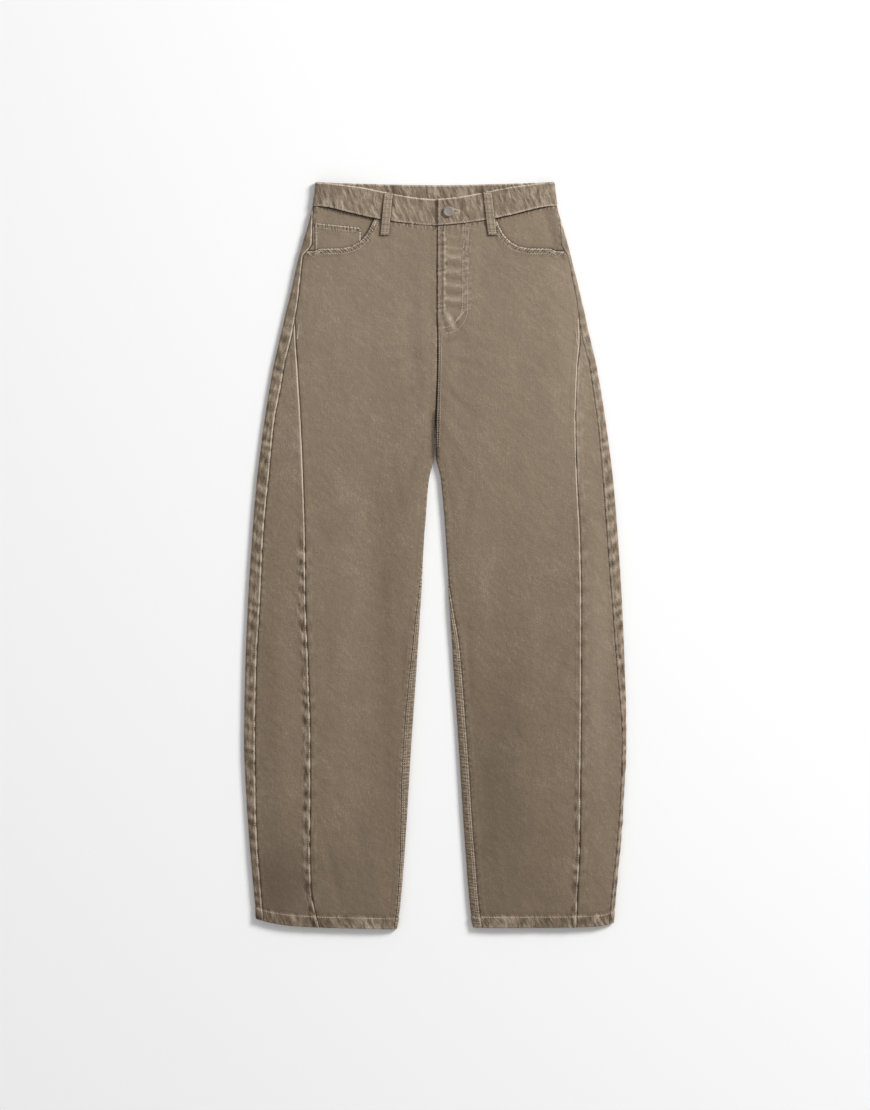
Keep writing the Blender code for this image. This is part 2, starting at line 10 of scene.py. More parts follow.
import bpy
import numpy as np
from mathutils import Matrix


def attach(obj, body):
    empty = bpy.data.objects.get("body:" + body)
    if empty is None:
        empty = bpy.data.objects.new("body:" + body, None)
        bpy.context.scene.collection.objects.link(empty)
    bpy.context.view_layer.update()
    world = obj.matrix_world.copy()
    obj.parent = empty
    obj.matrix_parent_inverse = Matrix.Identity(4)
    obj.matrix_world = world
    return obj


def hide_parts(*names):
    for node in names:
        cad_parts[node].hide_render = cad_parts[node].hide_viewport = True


bl_info = {
    "name": "Barrel Leg Trousers",
    "version": (1, 0, 0),
    "blender": (4, 5, 0),
    "location": "View3D > Sidebar > Trousers",
    "description": "Builds the cloth, seams, stitching and button of a laid pair of barrel leg trousers",
    "category": "Object",
}

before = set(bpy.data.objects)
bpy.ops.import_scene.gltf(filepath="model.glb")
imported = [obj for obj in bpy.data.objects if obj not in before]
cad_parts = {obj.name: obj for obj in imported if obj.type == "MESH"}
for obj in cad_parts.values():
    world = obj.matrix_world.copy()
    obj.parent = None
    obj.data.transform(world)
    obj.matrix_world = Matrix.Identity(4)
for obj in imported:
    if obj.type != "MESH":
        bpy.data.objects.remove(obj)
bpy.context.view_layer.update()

MM = 0.001
LENGTH = 1031.0
SEAM_GAP = 0.3
RIGHT, LEFT = -1, 1

# The lie of the tube: half width at the outer fold, half gap between the legs, height of the cloth at the
# middle of the leg, height of the fold's middle, widths over which the cloth rounds off to each fold, and how
# full the body is at the centre line.
LIE = [
    ("drop", "edge", "gap", "loft", "fold", "outer_round", "inner_round", "fullness"),
    (0, 164.0, 0.0, 12.4, 4.8, 40, 30, 1.0),
    (33, 168.5, 0.0, 12.3, 4.6, 40, 30, 1.0),
    (58, 174.4, 0.0, 12.2, 4.3, 40, 30, 1.0),
    (80, 181.5, 0.0, 12.0, 4.0, 42, 30, 1.0),
    (135, 195.0, 0.0, 11.0, 3.6, 46, 28, 1.0),
    (215, 214.0, 0.0, 10.0, 3.4, 52, 24, 0.92),
    (255, 223.0, 0.0, 9.8, 3.3, 54, 20, 0.5),
    (300, 231.0, 0.0, 9.6, 3.3, 56, 18, 0.2),
    (374, 241.5, 0.15, 9.4, 3.3, 56, 18, 0.0),
    (412, 246.0, 7.6, 9.3, 3.3, 56, 24, 0.0),
    (470, 251.0, 12.8, 9.3, 3.3, 56, 32, 0.0),
    (577, 258.0, 19.5, 9.3, 3.3, 58, 42, 0.0),
    (690, 262.5, 26.5, 9.3, 3.3, 60, 50, 0.0),
    (770, 263.6, 32.0, 9.3, 3.3, 60, 52, 0.0),
    (853, 260.2, 37.0, 9.3, 3.3, 58, 50, 0.0),
    (940, 253.7, 43.0, 9.3, 3.4, 52, 46, 0.0),
    (1000, 247.9, 48.0, 9.4, 3.6, 44, 42, 0.0),
    (1031, 245.0, 53.0, 9.5, 3.7, 40, 38, 0.0),
]

# Across to the outseam, where the back comes round the fold, and to the seam between side panel and front.
SEAMS = [
    ("drop", "right_outseam", "right_panel_seam", "left_outseam", "left_panel_seam"),
    (33, 168.1, 167.5, 168.1, 167.5),
    (60, 169.0, 168.4, 173.3, 172.7),
    (86, 170.0, 169.4, 174.5, 173.9),
    (104, 182.0, 181.4, 183.2, 182.6),
    (128, 185.0, 184.4, 188.6, 188.0),
    (156, 188.0, 187.4, 194.2, 193.6),
    (190, 193.5, 192.9, 199.0, 198.4),
    (217, 198.7, 192.2, 203.6, 199.6),
    (250, 207.0, 190.0, 212.6, 197.0),
    (283, 212.5, 188.0, 217.6, 195.2),
    (330, 221.5, 185.0, 224.3, 194.0),
    (411, 229.5, 181.7, 231.8, 196.0),
    (490, 236.8, 179.2, 237.6, 200.0),
    (580, 241.3, 178.2, 244.4, 201.7),
    (670, 246.4, 174.7, 251.4, 201.7),
    (770, 248.0, 171.8, 258.4, 201.0),
    (850, 247.3, 171.7, 256.0, 200.4),
    (920, 244.5, 172.3, 250.8, 199.7),
    (975, 240.2, 170.6, 244.9, 197.0),
    (1031, 235.6, 159.0, 239.6, 194.8),
]

# The inside leg seam: how far in from the inner fold it lies, below zero where it is on the underside.
INSEAM = [
    ("drop", "right_inset", "left_inset"),
    (374, 0.0, 0.0),
    (480, 0.0, -0.2),
    (520, 0.8, 0.2),
    (560, 3.0, 1.8),
    (600, 5.6, 5.8),
    (640, 7.4, 10.0),
    (690, 9.7, 11.3),
    (750, 11.0, 11.6),
    (820, 10.6, 12.2),
    (880, 8.0, 12.2),
    (940, 5.4, 12.6),
    (1031, 4.0, 12.4),
]

# The waistband's upper edge and its seam, on the front and on the back.
WAIST = [
    ("across", "front_top", "front_seam", "back_top", "back_seam"),
    (0, 24.4, 60.9, 4.8, 43.0),
    (30, 21.6, 58.6, 4.5, 42.4),
    (65, 15.3, 54.0, 3.8, 40.8),
    (100, 8.2, 47.2, 2.8, 38.4),
    (130, 4.0, 39.8, 1.8, 35.8),
    (150, 1.7, 35.2, 1.0, 34.2),
    (170, 0.4, 33.1, 0.4, 33.1),
]

# The curved mouth of the front pocket, from the waistband's seam round to the side seam.
POCKET_MOUTH = [
    ("across", "drop"),
    (84, 51.0),
    (90, 64.5),
    (97, 75.5),
    (106, 84.0),
    (117, 89.4),
    (131, 92.0),
    (158, 92.5),
    (167, 96.0),
]
POCKET_LEVEL = 96.0

# The hem's lower edge.
HEM = [
    ("across", "right_drop", "left_drop"),
    (30, 1031.0, 1026.0),
    (60, 1030.5, 1028.5),
    (130, 1029.0, 1028.5),
    (190, 1026.5, 1028.0),
    (225, 1022.0, 1026.5),
    (250, 1015.0, 1021.0),
]

# The large folds of the front, as they are in the solids: troughs are below zero.
FOLDS = [
    ("leg", "head_across", "head_drop", "foot_across", "foot_drop", "width", "height"),
    (RIGHT, 36, 150, 31, 318, 13, -1.2),
    (RIGHT, 14, 120, 17, 250, 10, 0.4),
    (RIGHT, 112, 270, 108, 470, 20, 0.5),
    (RIGHT, 92, 400, 74, 640, 22, -1.3),
    (RIGHT, 120, 480, 114, 800, 20, 0.6),
    (RIGHT, 212, 540, 205, 660, 16, -1.0),
    (RIGHT, 214, 905, 196, 985, 24, -1.2),
    (RIGHT, 128, 880, 122, 980, 20, 0.5),
    (LEFT, 30, 150, 36, 300, 13, -0.9),
    (LEFT, 70, 300, 62, 520, 24, 0.5),
    (LEFT, 96, 560, 92, 860, 26, -1.1),
    (LEFT, 224, 480, 228, 640, 15, 0.6),
    (LEFT, 222, 700, 246, 768, 14, -1.4),
    (LEFT, 160, 900, 126, 1000, 18, -0.8),
]

# Smaller creases of the front.
FRONT_CREASES = [
    FOLDS[0],
    (RIGHT, 12, 232, 78, 262, 5, -0.7),
    (RIGHT, 8, 262, 64, 316, 6, -0.8),
    (RIGHT, 6, 300, 52, 372, 6, 0.6),
    (RIGHT, 12, 344, 46, 428, 5, -0.6),
    (RIGHT, 30, 214, 96, 236, 6, 0.5),
    (RIGHT, 150, 214, 92, 258, 8, -0.4),
    (RIGHT, 60, 380, 44, 470, 7, -0.6),
    (RIGHT, 150, 392, 118, 450, 9, 0.5),
    (RIGHT, 168, 470, 134, 520, 8, -0.5),
    (RIGHT, 66, 540, 52, 640, 8, 0.6),
    (RIGHT, 48, 600, 44, 742, 6, -0.7),
    (RIGHT, 150, 600, 146, 700, 9, -0.5),
    (RIGHT, 96, 690, 88, 800, 9, 0.5),
    (RIGHT, 70, 760, 62, 880, 8, -0.6),
    (RIGHT, 152, 790, 138, 880, 8, 0.5),
    (RIGHT, 108, 872, 96, 950, 8, -0.6),
    (RIGHT, 150, 912, 130, 996, 7, -0.8),
    (RIGHT, 84, 900, 76, 1000, 8, 0.5),
    (LEFT, 14, 240, 70, 262, 5, -0.7),
    (LEFT, 10, 280, 60, 330, 6, -0.8),
    (LEFT, 8, 318, 48, 384, 6, 0.6),
    (LEFT, 14, 362, 42, 440, 5, -0.6),
    (LEFT, 34, 206, 104, 226, 6, 0.5),
    (LEFT, 160, 232, 110, 286, 8, -0.4),
    (LEFT, 52, 400, 40, 492, 7, -0.7),
    (LEFT, 120, 376, 138, 470, 9, 0.5),
    (LEFT, 176, 436, 150, 520, 9, -0.5),
    (LEFT, 64, 520, 70, 640, 8, 0.6),
    (LEFT, 44, 590, 48, 720, 6, -0.7),
    (LEFT, 140, 600, 130, 720, 9, 0.5),
    (LEFT, 176, 640, 160, 716, 8, -0.6),
    (LEFT, 120, 760, 104, 850, 8, 0.5),
    (LEFT, 70, 800, 74, 900, 8, -0.6),
    (LEFT, 166, 780, 148, 884, 8, -0.5),
    (LEFT, 84, 900, 96, 990, 8, 0.5),
    (LEFT, 184, 906, 172, 990, 7, 0.6),
]

# The same kind of creases on the back, which lies on the surface.
BACK_CREASES = [
    FOLDS[0],
    (RIGHT, 20, 120, 64, 170, 7, -0.7),
    (RIGHT, 14, 220, 84, 262, 8, -0.9),
    (RIGHT, 12, 280, 70, 344, 8, -0.9),
    (RIGHT, 110, 210, 164, 250, 8, -0.6),
    (RIGHT, 60, 400, 50, 520, 9, -0.7),
    (RIGHT, 150, 430, 120, 520, 10, -0.6),
    (RIGHT, 90, 560, 76, 700, 11, -0.8),
    (RIGHT, 170, 620, 160, 760, 10, -0.6),
    (RIGHT, 110, 780, 124, 900, 10, -0.7),
    (RIGHT, 190, 860, 170, 960, 9, -0.6),
    (LEFT, 24, 130, 76, 176, 7, -0.7),
    (LEFT, 16, 236, 92, 284, 8, -0.9),
    (LEFT, 12, 300, 66, 372, 8, -0.9),
    (LEFT, 120, 240, 178, 268, 8, -0.5),
    (LEFT, 56, 430, 62, 550, 9, -0.7),
    (LEFT, 160, 470, 130, 560, 10, -0.6),
    (LEFT, 96, 600, 88, 740, 11, -0.8),
    (LEFT, 180, 660, 168, 790, 10, -0.6),
    (LEFT, 120, 820, 132, 930, 10, -0.7),
    (LEFT, 196, 880, 178, 980, 9, -0.6),
]

# How the wash has left the cloth, and where light and shade are painted: soft patches that are lighter, above
# zero, or darker.
# They are partly the wash's fading and partly painted light and shade: lighter towards the waist, darker
# towards the hems, lighter on the outer side of the wearer's left leg, which faces the light, and darker on
# sides that face away from it.
WASH_AND_PAINTED_LIGHT = [
    ("leg", "across", "drop", "half_width", "half_height", "amount"),
    (RIGHT, 118, 640, 24, 260, 0.06),
    (RIGHT, 60, 640, 22, 260, -0.07),
    (RIGHT, 226, 700, 26, 300, -0.10),
    (RIGHT, 120, 1010, 140, 110, -0.12),
    (RIGHT, 216, 968, 40, 60, -0.24),
    (RIGHT, 110, 120, 190, 230, 0.10),
    (RIGHT, 60, 700, 24, 240, -0.05),
    (RIGHT, 206, 700, 14, 260, 0.05),
    (RIGHT, 130, 900, 190, 300, -0.09),
    (LEFT, 196, 260, 34, 170, 0.10),
    (LEFT, 226, 640, 20, 220, 0.18),
    (LEFT, 84, 820, 44, 190, -0.17),
    (LEFT, 130, 1010, 140, 110, -0.10),
    (LEFT, 150, 420, 60, 160, 0.05),
    (LEFT, 110, 120, 190, 230, 0.10),
    (LEFT, 120, 860, 150, 340, -0.10),
    (LEFT, 60, 470, 26, 90, 0.04),
]

CENTRE_SHIFT, CENTRE_SHIFT_ENDS = 3.6, (235.0, 370.0)
FORK_STARTS, CROTCH = 335.0, 374.0
SPACING_CHANGES = (290.0, 372.0)
HIP_LEVEL = 190.0
HEM_HEIGHT, HEM_EXTRA, HEM_STEP = 17.0, 1.2, 2.0
PAST_CENTRE_WAY, HALVINGS = 1.3, 34
UNDERLAP_FROM_WAY, HALF_ROUND_WAY = 0.9, 1.5
LATTICE_TURNS, BAND_TURNS, KEPT_STEPS = 7, 5, 1400
FOLD_FADE, FOLD_SPAN = 4, 2.2

BAND_PROUD, BAND_DEPTH, BAND_UNDERLAP = 0.8, 2.2, 36.0
BAND_RAISE, BAND_RAISE_ENDS = 1.9, (40.0, 60.0)
BAND_SINK, BAND_SINK_ENDS = 1.5, (6.0, 46.0)
FLY_UNDERLAP, FLY_ROUND = 22.0, 26.0
FLY_RAISE, FLY_RAISE_ENDS = 1.0, (46.0, 66.0)
FLY_SINK, FLY_SINK_ENDS = 1.1, (0.0, 34.0)
FLY_FADE = (192.0, 226.0)
FACING_SINK, FACING_UNDERLAP, FACING_INNER, FACING_CLEAR = 3.3, 9.0, 77.0, 0.3
FACING_SINK_ENDS, FACING_UNDERLAP_ENDS = (4.0, 22.0), (142.0, 160.0)
COIN_POCKET = {"inner": 102.0, "outer": 165.0, "top_inner": 63.5, "top_outer": 57.0, "bottom": 95.5}
COIN_CLOTH, COIN_GAP = 1.0, 0.45
LOOP_WIDTH, LOOP_CLOTH, LOOP_BOTTOM, LOOP_BOW = 11.5, 1.8, 74.0, 0.7
LOOP_STEP = (2.0, 9.0)
LOOP_ACROSS = {RIGHT: (64.0, 69.5), LEFT: (72.0, 79.0)}
BUTTON_ACROSS, BUTTON_DROP = 18.6, 41.8
SHANK_LENGTH = 1.0

CLOTH = 1.4
BAND_ROWS, BAND_COLUMNS = 26, (160, 90, 90, 140)
FAR_FROM_SEAMS = 60.0
SEAM_CLOSE = 0.05
FLOOR_CLEAR = 0.02
TURN_SEAM_AWAY = 0.2

# One stitch of the topstitching and the step from one to the next.
STITCH_PROUD = 0.1
STITCH_PITCH, STITCH_LENGTH, STITCH_BREADTH, STITCH_HEIGHT = 3.3, 2.3, 0.9, 0.5


class TrousersSettings(bpy.types.PropertyGroup):
    """Sizes and colours of the trousers that a user may change."""

    cloth_colour: bpy.props.FloatVectorProperty(
        name="Cloth", description="Colour of the washed twill", subtype="COLOR", default=(0.222, 0.166, 0.114)
    )
    # Colour for wear on ridges, and also for painted highlights and the lighter painted patches.
    worn_colour: bpy.props.FloatVectorProperty(
        name="Worn", description="Colour where the wash has rubbed a ridge", subtype="COLOR",
        default=(0.54, 0.445, 0.345),
    )
    # Colour for dye kept in puckers, and also for painted shade, painted shadow and the darker painted
    # patches.
    deep_colour: bpy.props.FloatVectorProperty(
        name="Deep", description="Colour kept in puckers and ditches", subtype="COLOR",
        default=(0.075, 0.050, 0.032),
    )
    thread_colour: bpy.props.FloatVectorProperty(
        name="Thread", description="Colour of the topstitching", subtype="COLOR", default=(0.64, 0.54, 0.43)
    )
    metal_colour: bpy.props.FloatVectorProperty(
        name="Metal", description="Colour of the button", subtype="COLOR", default=(0.30, 0.26, 0.24)
    )
    pucker_height: bpy.props.FloatProperty(
        name="Pucker", description="Height of the puckers along seams", subtype="DISTANCE", unit="LENGTH",
        default=0.0006,
    )
    crease_height: bpy.props.FloatProperty(
        name="Creases", description="Strength of the creases beside the large folds", subtype="FACTOR",
        min=0.0, max=2.0, default=1.0,
    )
    weave_pitch: bpy.props.FloatProperty(
        name="Weave", description="Distance between the twill's diagonal lines", subtype="DISTANCE",
        unit="LENGTH", default=0.0009,
    )
    floor_colour: bpy.props.FloatVectorProperty(
        name="Floor", description="Colour of the surface below", subtype="COLOR", default=(0.95, 0.95, 0.95)
    )


def column(table, x_name, y_name):
    """A smooth function through two columns of a table: cubic pieces that never overshoot a row."""
    names = table[0]
    rows = np.array(table[1:], float)
    x, y = rows[:, names.index(x_name)], rows[:, names.index(y_name)]
    run = np.diff(y) / np.diff(x)
    before, after = run[:-1], run[1:]
    same_way = before * after > 0
    mean = 2 * before * after / np.where(same_way, before + after, 1)
    slope = np.concatenate([run[:1], np.where(same_way, mean, 0), run[-1:]])

    def at(value):
        value = np.clip(value, x[0], x[-1])
        i = np.clip(np.searchsorted(x, value) - 1, 0, len(x) - 2)
        step = x[i + 1] - x[i]
        t = (value - x[i]) / step
        return (
            y[i] * (1 + 2 * t) * (1 - t) ** 2
            + slope[i] * step * t * (1 - t) ** 2
            + y[i + 1] * t * t * (3 - 2 * t)
            + slope[i + 1] * step * t * t * (t - 1)
        )

    return at


def eased(value, ends):
    """0 before the first end, 1 after the second, and a smooth step between."""
    t = np.clip((value - ends[0]) / (ends[1] - ends[0]), 0, 1)
    return t * t * (3 - 2 * t)


def bell(value, width):
    return np.exp(-((value / width) ** 2))


lie = {name: column(LIE, "drop", name) for name in LIE[0][1:]}
seams = {name: column(SEAMS, "drop", name) for name in SEAMS[0][1:]}
waist = {name: column(WAIST, "across", name) for name in WAIST[0][1:]}
inset = {RIGHT: column(INSEAM, "drop", "right_inset"), LEFT: column(INSEAM, "drop", "left_inset")}
pocket_mouth = column(POCKET_MOUTH, "across", "drop")
hem_edge = {RIGHT: column(HEM, "across", "right_drop"), LEFT: column(HEM, "across", "left_drop")}
outseam_line = {RIGHT: seams["right_outseam"], LEFT: seams["left_outseam"]}
panel_line = {RIGHT: seams["right_panel_seam"], LEFT: seams["left_panel_seam"]}


def inner_line(leg, drop):
    """Across to the inner fold of the leg, or above the crotch to the centre seam."""
    shift = CENTRE_SHIFT * (1 - eased(drop, CENTRE_SHIFT_ENDS))
    return lie["gap"](drop) + leg * shift


def reach(way, drop):
    """Share of the width from the inner line, at way 1, to the outer fold, at way 0."""
    legs = eased(drop, SPACING_CHANGES)
    return (1 - legs) * np.cos(math.pi * way / 2) + legs * (1 + np.cos(math.pi * way)) / 2


def across_of(leg, way, drop):
    inner = inner_line(leg, drop)
    return inner + (lie["edge"](drop) - inner) * reach(way, drop)


def way_to(leg, across, drop):
    """The way round the front at which the ring lies this far across, found by halving."""
    across, drop = np.broadcast_arrays(np.asarray(across, float), np.asarray(drop, float))
    low, high = np.zeros(drop.shape), np.where(drop < SPACING_CHANGES[0], PAST_CENTRE_WAY, 1.0)
    for _ in range(HALVINGS):
        middle = (low + high) / 2
        beyond = across_of(leg, middle, drop) > across
        low, high = np.where(beyond, middle, low), np.where(beyond, high, middle)
    return (low + high) / 2


def arc_rise(distance, radius):
    """Height of a quarter circle, from 0 at its foot to its radius."""
    distance = np.clip(distance, 0, radius)
    return np.sqrt(np.maximum(radius**2 - (radius - distance) ** 2, 0))


def swell(distance, width):
    """Rises from 0 and levels off at 1 over the width."""
    return 1 - (1 - np.clip(distance / width, 0, 1)) ** 2


def crease_height(table, leg, across, drop):
    """The sum of a leg's creases: each is a bell across its line, and fades towards its ends."""
    height = np.zeros(np.broadcast(across, drop).shape)
    for side, ax, ad, bx, bd, width, tall in table[1:]:
        if side != leg:
            continue
        run = math.hypot(bx - ax, bd - ad)
        ux, ud = (bx - ax) / run, (bd - ad) / run
        along = ((across - ax) * ux + (drop - ad) * ud) / run
        off = (across - ax) * ud - (drop - ad) * ux
        ends = np.exp(-((FOLD_SPAN * (along - 0.5)) ** FOLD_FADE))
        height += tall * bell(off, width) * ends
    return height


def front_height(leg, across, drop):
    """Height of the upper cloth: a quarter round at each fold, a swell beyond it, and the folds."""
    fold, full = lie["fold"](drop), lie["fullness"](drop)
    outer = lie["edge"](drop) - across
    inner = across - inner_line(leg, drop)
    turn = arc_rise(outer, fold) * (full + (1 - full) * arc_rise(inner, fold) / fold)
    crown = swell(outer, lie["outer_round"](drop))
    crown = crown * (full + (1 - full) * swell(inner, lie["inner_round"](drop)))
    folds = crease_height(FOLDS, leg, across, drop)
    return fold + turn + (lie["loft"](drop) - 2 * fold) * crown + folds * crown


def back_height(leg, across, drop):
    """Height of the lower cloth: flat on the surface, with a quarter round up to each fold."""
    fold = lie["fold"](drop)
    fork = fold * eased(drop, (FORK_STARTS, CROTCH))
    outer = lie["edge"](drop) - across
    inner = across - inner_line(leg, drop)
    return fold - arc_rise(outer, fold) + fork - arc_rise(inner, fork)


def ring(leg, way, drop, past_centre=False):
    """Across and height of the cloth's outer skin. A piece that runs past the centre stays on the front."""
    way, drop = np.broadcast_arrays(np.asarray(way, float), np.asarray(drop, float))
    past = past_centre & (way > 1) & (way < HALF_ROUND_WAY)
    under = (way % 2 > 1) & ~past
    front_way = np.where(past, way, np.where(under, 2 - way % 2, way % 2))
    across = across_of(leg, front_way, drop)
    above = np.where(past, front_height(-leg, -across, drop), front_height(leg, across, drop))
    return across, np.where(under, back_height(leg, across, drop), above)


def skin(leg, way, drop, lift=0.0, past_centre=False):
    """Points in millimetres on the ring, moved out of the cloth by lift, and never below the surface."""
    step = 1e-4
    across, height = ring(leg, way, drop, past_centre)
    a0, h0 = ring(leg, way - step, drop, past_centre)
    a1, h1 = ring(leg, way + step, drop, past_centre)
    run = np.hypot(a1 - a0, h1 - h0)
    across = across + lift * (h1 - h0) / run
    height = np.maximum(height - lift * (a1 - a0) / run, 0)
    return np.stack([leg * across, LENGTH / 2 - drop + 0 * across, height], -1)


def shifted(leg, way, drop, distance, past_centre=False):
    """The way this distance further round the ring, judged on the side that it moves to."""
    side = -1 if distance < 0 else 1
    near, far = 1e-6 * side, 1e-3 * side
    a0, h0 = ring(leg, way + near, drop, past_centre)
    a1, h1 = ring(leg, way + far, drop, past_centre)
    return way + (far - near) * abs(distance) / np.hypot(a1 - a0, h1 - h0)


def kept(make):
    """A line round the leg as a function of drop, worked out once at close steps."""
    drops = np.linspace(0, LENGTH, KEPT_STEPS)
    ways = make(drops)
    return lambda drop: np.interp(drop, drops, ways)


def outseam(leg, distance=0.0):
    """The way to the seam between the back and what lies beside it on the front."""
    return kept(lambda drop: shifted(leg, way_to(leg, outseam_line[leg](drop), drop), drop, distance))


def panel_seam(leg, distance=0.0):
    """The way to the seam between the side panel and the front."""
    return kept(lambda drop: shifted(leg, way_to(leg, panel_line[leg](drop), drop), drop, distance))


def inseam(leg, distance=0.0):
    """The way to the inside leg seam, and above the crotch to the centre seam."""

    def make(drop):
        inward = inset[leg](drop)
        way = way_to(leg, inner_line(leg, drop) + np.abs(inward), drop)
        return shifted(leg, np.where(inward < 0, 2 - way, way), drop, distance)

    return kept(make)


def level(drop):
    """A row line that runs level across the piece."""
    return lambda across: drop + 0 * across


def crowded(count, share):
    """Count + 1 shares from 0 to 1, closer together towards both ends."""
    t = np.linspace(0, 1, count + 1)
    return (1 - share) * t + share * (1 - np.cos(math.pi * t)) / 2


def stops(counts, crowding):
    """For each column or row of a piece, the stretch that it lies in and its share of that stretch."""
    stretch = np.concatenate([np.full(n, k) for k, n in enumerate(counts)] + [[len(counts) - 1]])
    share = np.concatenate([crowded(n, crowding[k])[:-1] for k, n in enumerate(counts)] + [[1.0]])
    return stretch, share


def lattice(leg, ways, way_counts, drops, drop_counts, way_crowding=None, drop_crowding=None):
    """Way and drop at each point of a piece. Ways are functions of drop, from one edge to the other, and
    drops are functions of across. Each holds at its own line, so the two are worked out in turn."""
    column_stretch, column_share = stops(way_counts, way_crowding or [0.0] * len(way_counts))
    row_stretch, row_share = stops(drop_counts, drop_crowding or [0.0] * len(drop_counts))
    drop = np.repeat(
        np.linspace(drops[0](100.0), drops[-1](150.0), len(row_share))[:, None], len(column_share), axis=1
    )
    for _ in range(LATTICE_TURNS):
        lines = np.stack([way(drop) for way in ways])
        low = np.take_along_axis(lines, column_stretch[None, None, :] + 0 * drop[None].astype(int), 0)[0]
        high = np.take_along_axis(lines, column_stretch[None, None, :] + 1 + 0 * drop[None].astype(int), 0)[0]
        way = low + (high - low) * column_share[None, :]
        front = np.where(way % 2 > 1, 2 - way % 2, way % 2)
        across = across_of(leg, front, drop)
        lines = np.stack([line(across) for line in drops])
        low = np.take_along_axis(lines, row_stretch[None, :, None] + 0 * drop[None].astype(int), 0)[0]
        high = np.take_along_axis(lines, row_stretch[None, :, None] + 1 + 0 * drop[None].astype(int), 0)[0]
        drop = low + (high - low) * row_share[:, None]
    return way, drop


def hashed(i, j, seed):
    """A repeatable value from -1 to 1 for each whole pair (i, j)."""
    value = np.sin(i * 127.1 + j * 311.7 + seed * 74.7) * 43758.5453
    return 2 * (value - np.floor(value)) - 1


def rumple(x, y, size, seed):
    """Smooth noise from -1 to 1 with hills this size: values at whole grid points, eased between them."""
    x, y = x / size, y / size
    i, j = np.floor(x), np.floor(y)
    u, v = x - i, y - j
    u, v = u * u * (3 - 2 * u), v * v * (3 - 2 * v)
    low = hashed(i, j, seed) * (1 - u) + hashed(i + 1, j, seed) * u
    high = hashed(i, j + 1, seed) * (1 - u) + hashed(i + 1, j + 1, seed) * u
    return low * (1 - v) + high * v


class Finish:
    """What a piece of cloth carries at each of its points, besides its shape: relief in millimetres, how much
    the colour is lightened or darkened by wear and roping and by painted light and shade, how strongly it is
    roped, and the nearest seam's distance, place along it, strength of pucker and whether the piece lies over
    the seam, above 0, or under it."""

    FIELDS = ("relief", "wear", "roped", "pucker", "lap", "away", "along")

    def __init__(self, across, drop):
        for name in self.FIELDS:
            setattr(self, name, np.zeros(across.shape))
        self.away += FAR_FROM_SEAMS
        self.along += drop / 9.0

    def seam(
        self, distance, along, pitch, over=1.0, strength=0.5, width=7.0, roll=0.55, ridge=0.3, ridge_to=8.0
    ):
        """The cloth rolls down into the seam, is raised over its turned edges, and puckers beside it."""
        distance = np.abs(distance)
        self.relief += -roll * bell(distance, 1.1)
        ridge_ends = (ridge_to - 1.5, ridge_to + 1.5)
        self.relief += ridge * eased(distance, (0.6, 1.8)) * (1 - eased(distance, ridge_ends))
        # The lap and distance kept here let the material paint a light line on the upper piece's edge, wear
        # with a painted highlight, painted shadow on the lower piece beside it, and painted shade in the
        # seam's ditch.
        nearer = distance < self.away
        self.along = np.where(nearer, along / pitch, self.along)
        self.lap = np.where(nearer, over, self.lap)
        self.away = np.where(nearer, distance, self.away)
        here = strength * (1 - eased(distance, (width * 0.5, width * 1.4)))
        self.pucker = np.maximum(self.pucker, here)

    def hem(self, leg, across, drop):
        """The turned hem: its fold shows as a step with a line of stitches, and the strip below is roped."""
        top = hem_edge[leg](across) - HEM_HEIGHT
        self.relief += -0.4 * bell(drop - top, 1.6)
        self.roped = np.maximum(self.roped, 1.3 * eased(drop, (top - 5, top + 4)))
        self.wear += 0.30 * bell(drop - hem_edge[leg](across), 2.2) + 0.30 * bell(drop - top - 2.5, 1.3)
        # Painted shade in the groove at the top of the hem.
        self.wear -= 0.20 * bell(drop - top + 1.0, 2.2)
        rope = rumple(across + 0.5 * drop, drop * 0.25, 6.5, 31) + 0.5 * rumple(across, drop * 0.3, 12.0, 32)
        below = eased(drop, (top - 2, top + 5))
        self.relief += 0.42 * rope * below
        self.wear += 0.42 * rope * below


# Painted light and shade with the wash's fading: the sum of a leg's soft patches, lighter above zero.
def wash_and_painted_light(leg, across, drop):
    total = np.zeros(np.broadcast(across, drop).shape)
    for side, a, d, half_width, half_height, amount in WASH_AND_PAINTED_LIGHT[1:]:
        if side == leg:
            total += amount * bell(across - a, half_width) * bell(drop - d, half_height)
    return total


def crumple(leg, across, drop, seed):
    """The soft unevenness of cloth that was washed and pressed by hand."""
    x = leg * across
    lean = x + 0.5 * drop
    return (
        0.30 * rumple(lean, drop - 0.4 * x, 34.0, seed)
        + 0.20 * rumple(x - 0.7 * drop, drop, 17.0, seed + 1)
        + 0.10 * rumple(lean, 1.3 * drop, 8.5, seed + 2)
    )


def seam_relief(piece, distance, drop, leg, seed):
    """Raised puckers of uneven length that stand across a seam."""
    wobble = rumple(drop, distance * 0.4, 13.0, seed) + 0.6 * rumple(drop, distance * 0.5, 7.0, seed + 1)
    piece.relief += 0.45 * wobble * (1 - eased(distance, (3.0, 13.0)))


def hem_thickness(leg, across, drop):
    """How much the turned-up hem adds to the cloth."""
    bottom = hem_edge[leg](across)
    return HEM_EXTRA * eased(drop, (bottom - HEM_HEIGHT, bottom - HEM_HEIGHT + HEM_STEP))


def fly_lift(leg, across, drop):
    """The wearer's left front rises over the fly's underlap, and the right front sinks under it."""
    size, ends = (FLY_RAISE, FLY_RAISE_ENDS) if leg == LEFT else (-FLY_SINK, FLY_SINK_ENDS)
    return size * (1 - eased(across, ends)) * (1 - eased(drop, FLY_FADE))


def facing_sink(across, drop):
    """How far the pocket's facing lies below the front."""
    return FACING_SINK * eased(lie["edge"](drop) - across, FACING_SINK_ENDS)


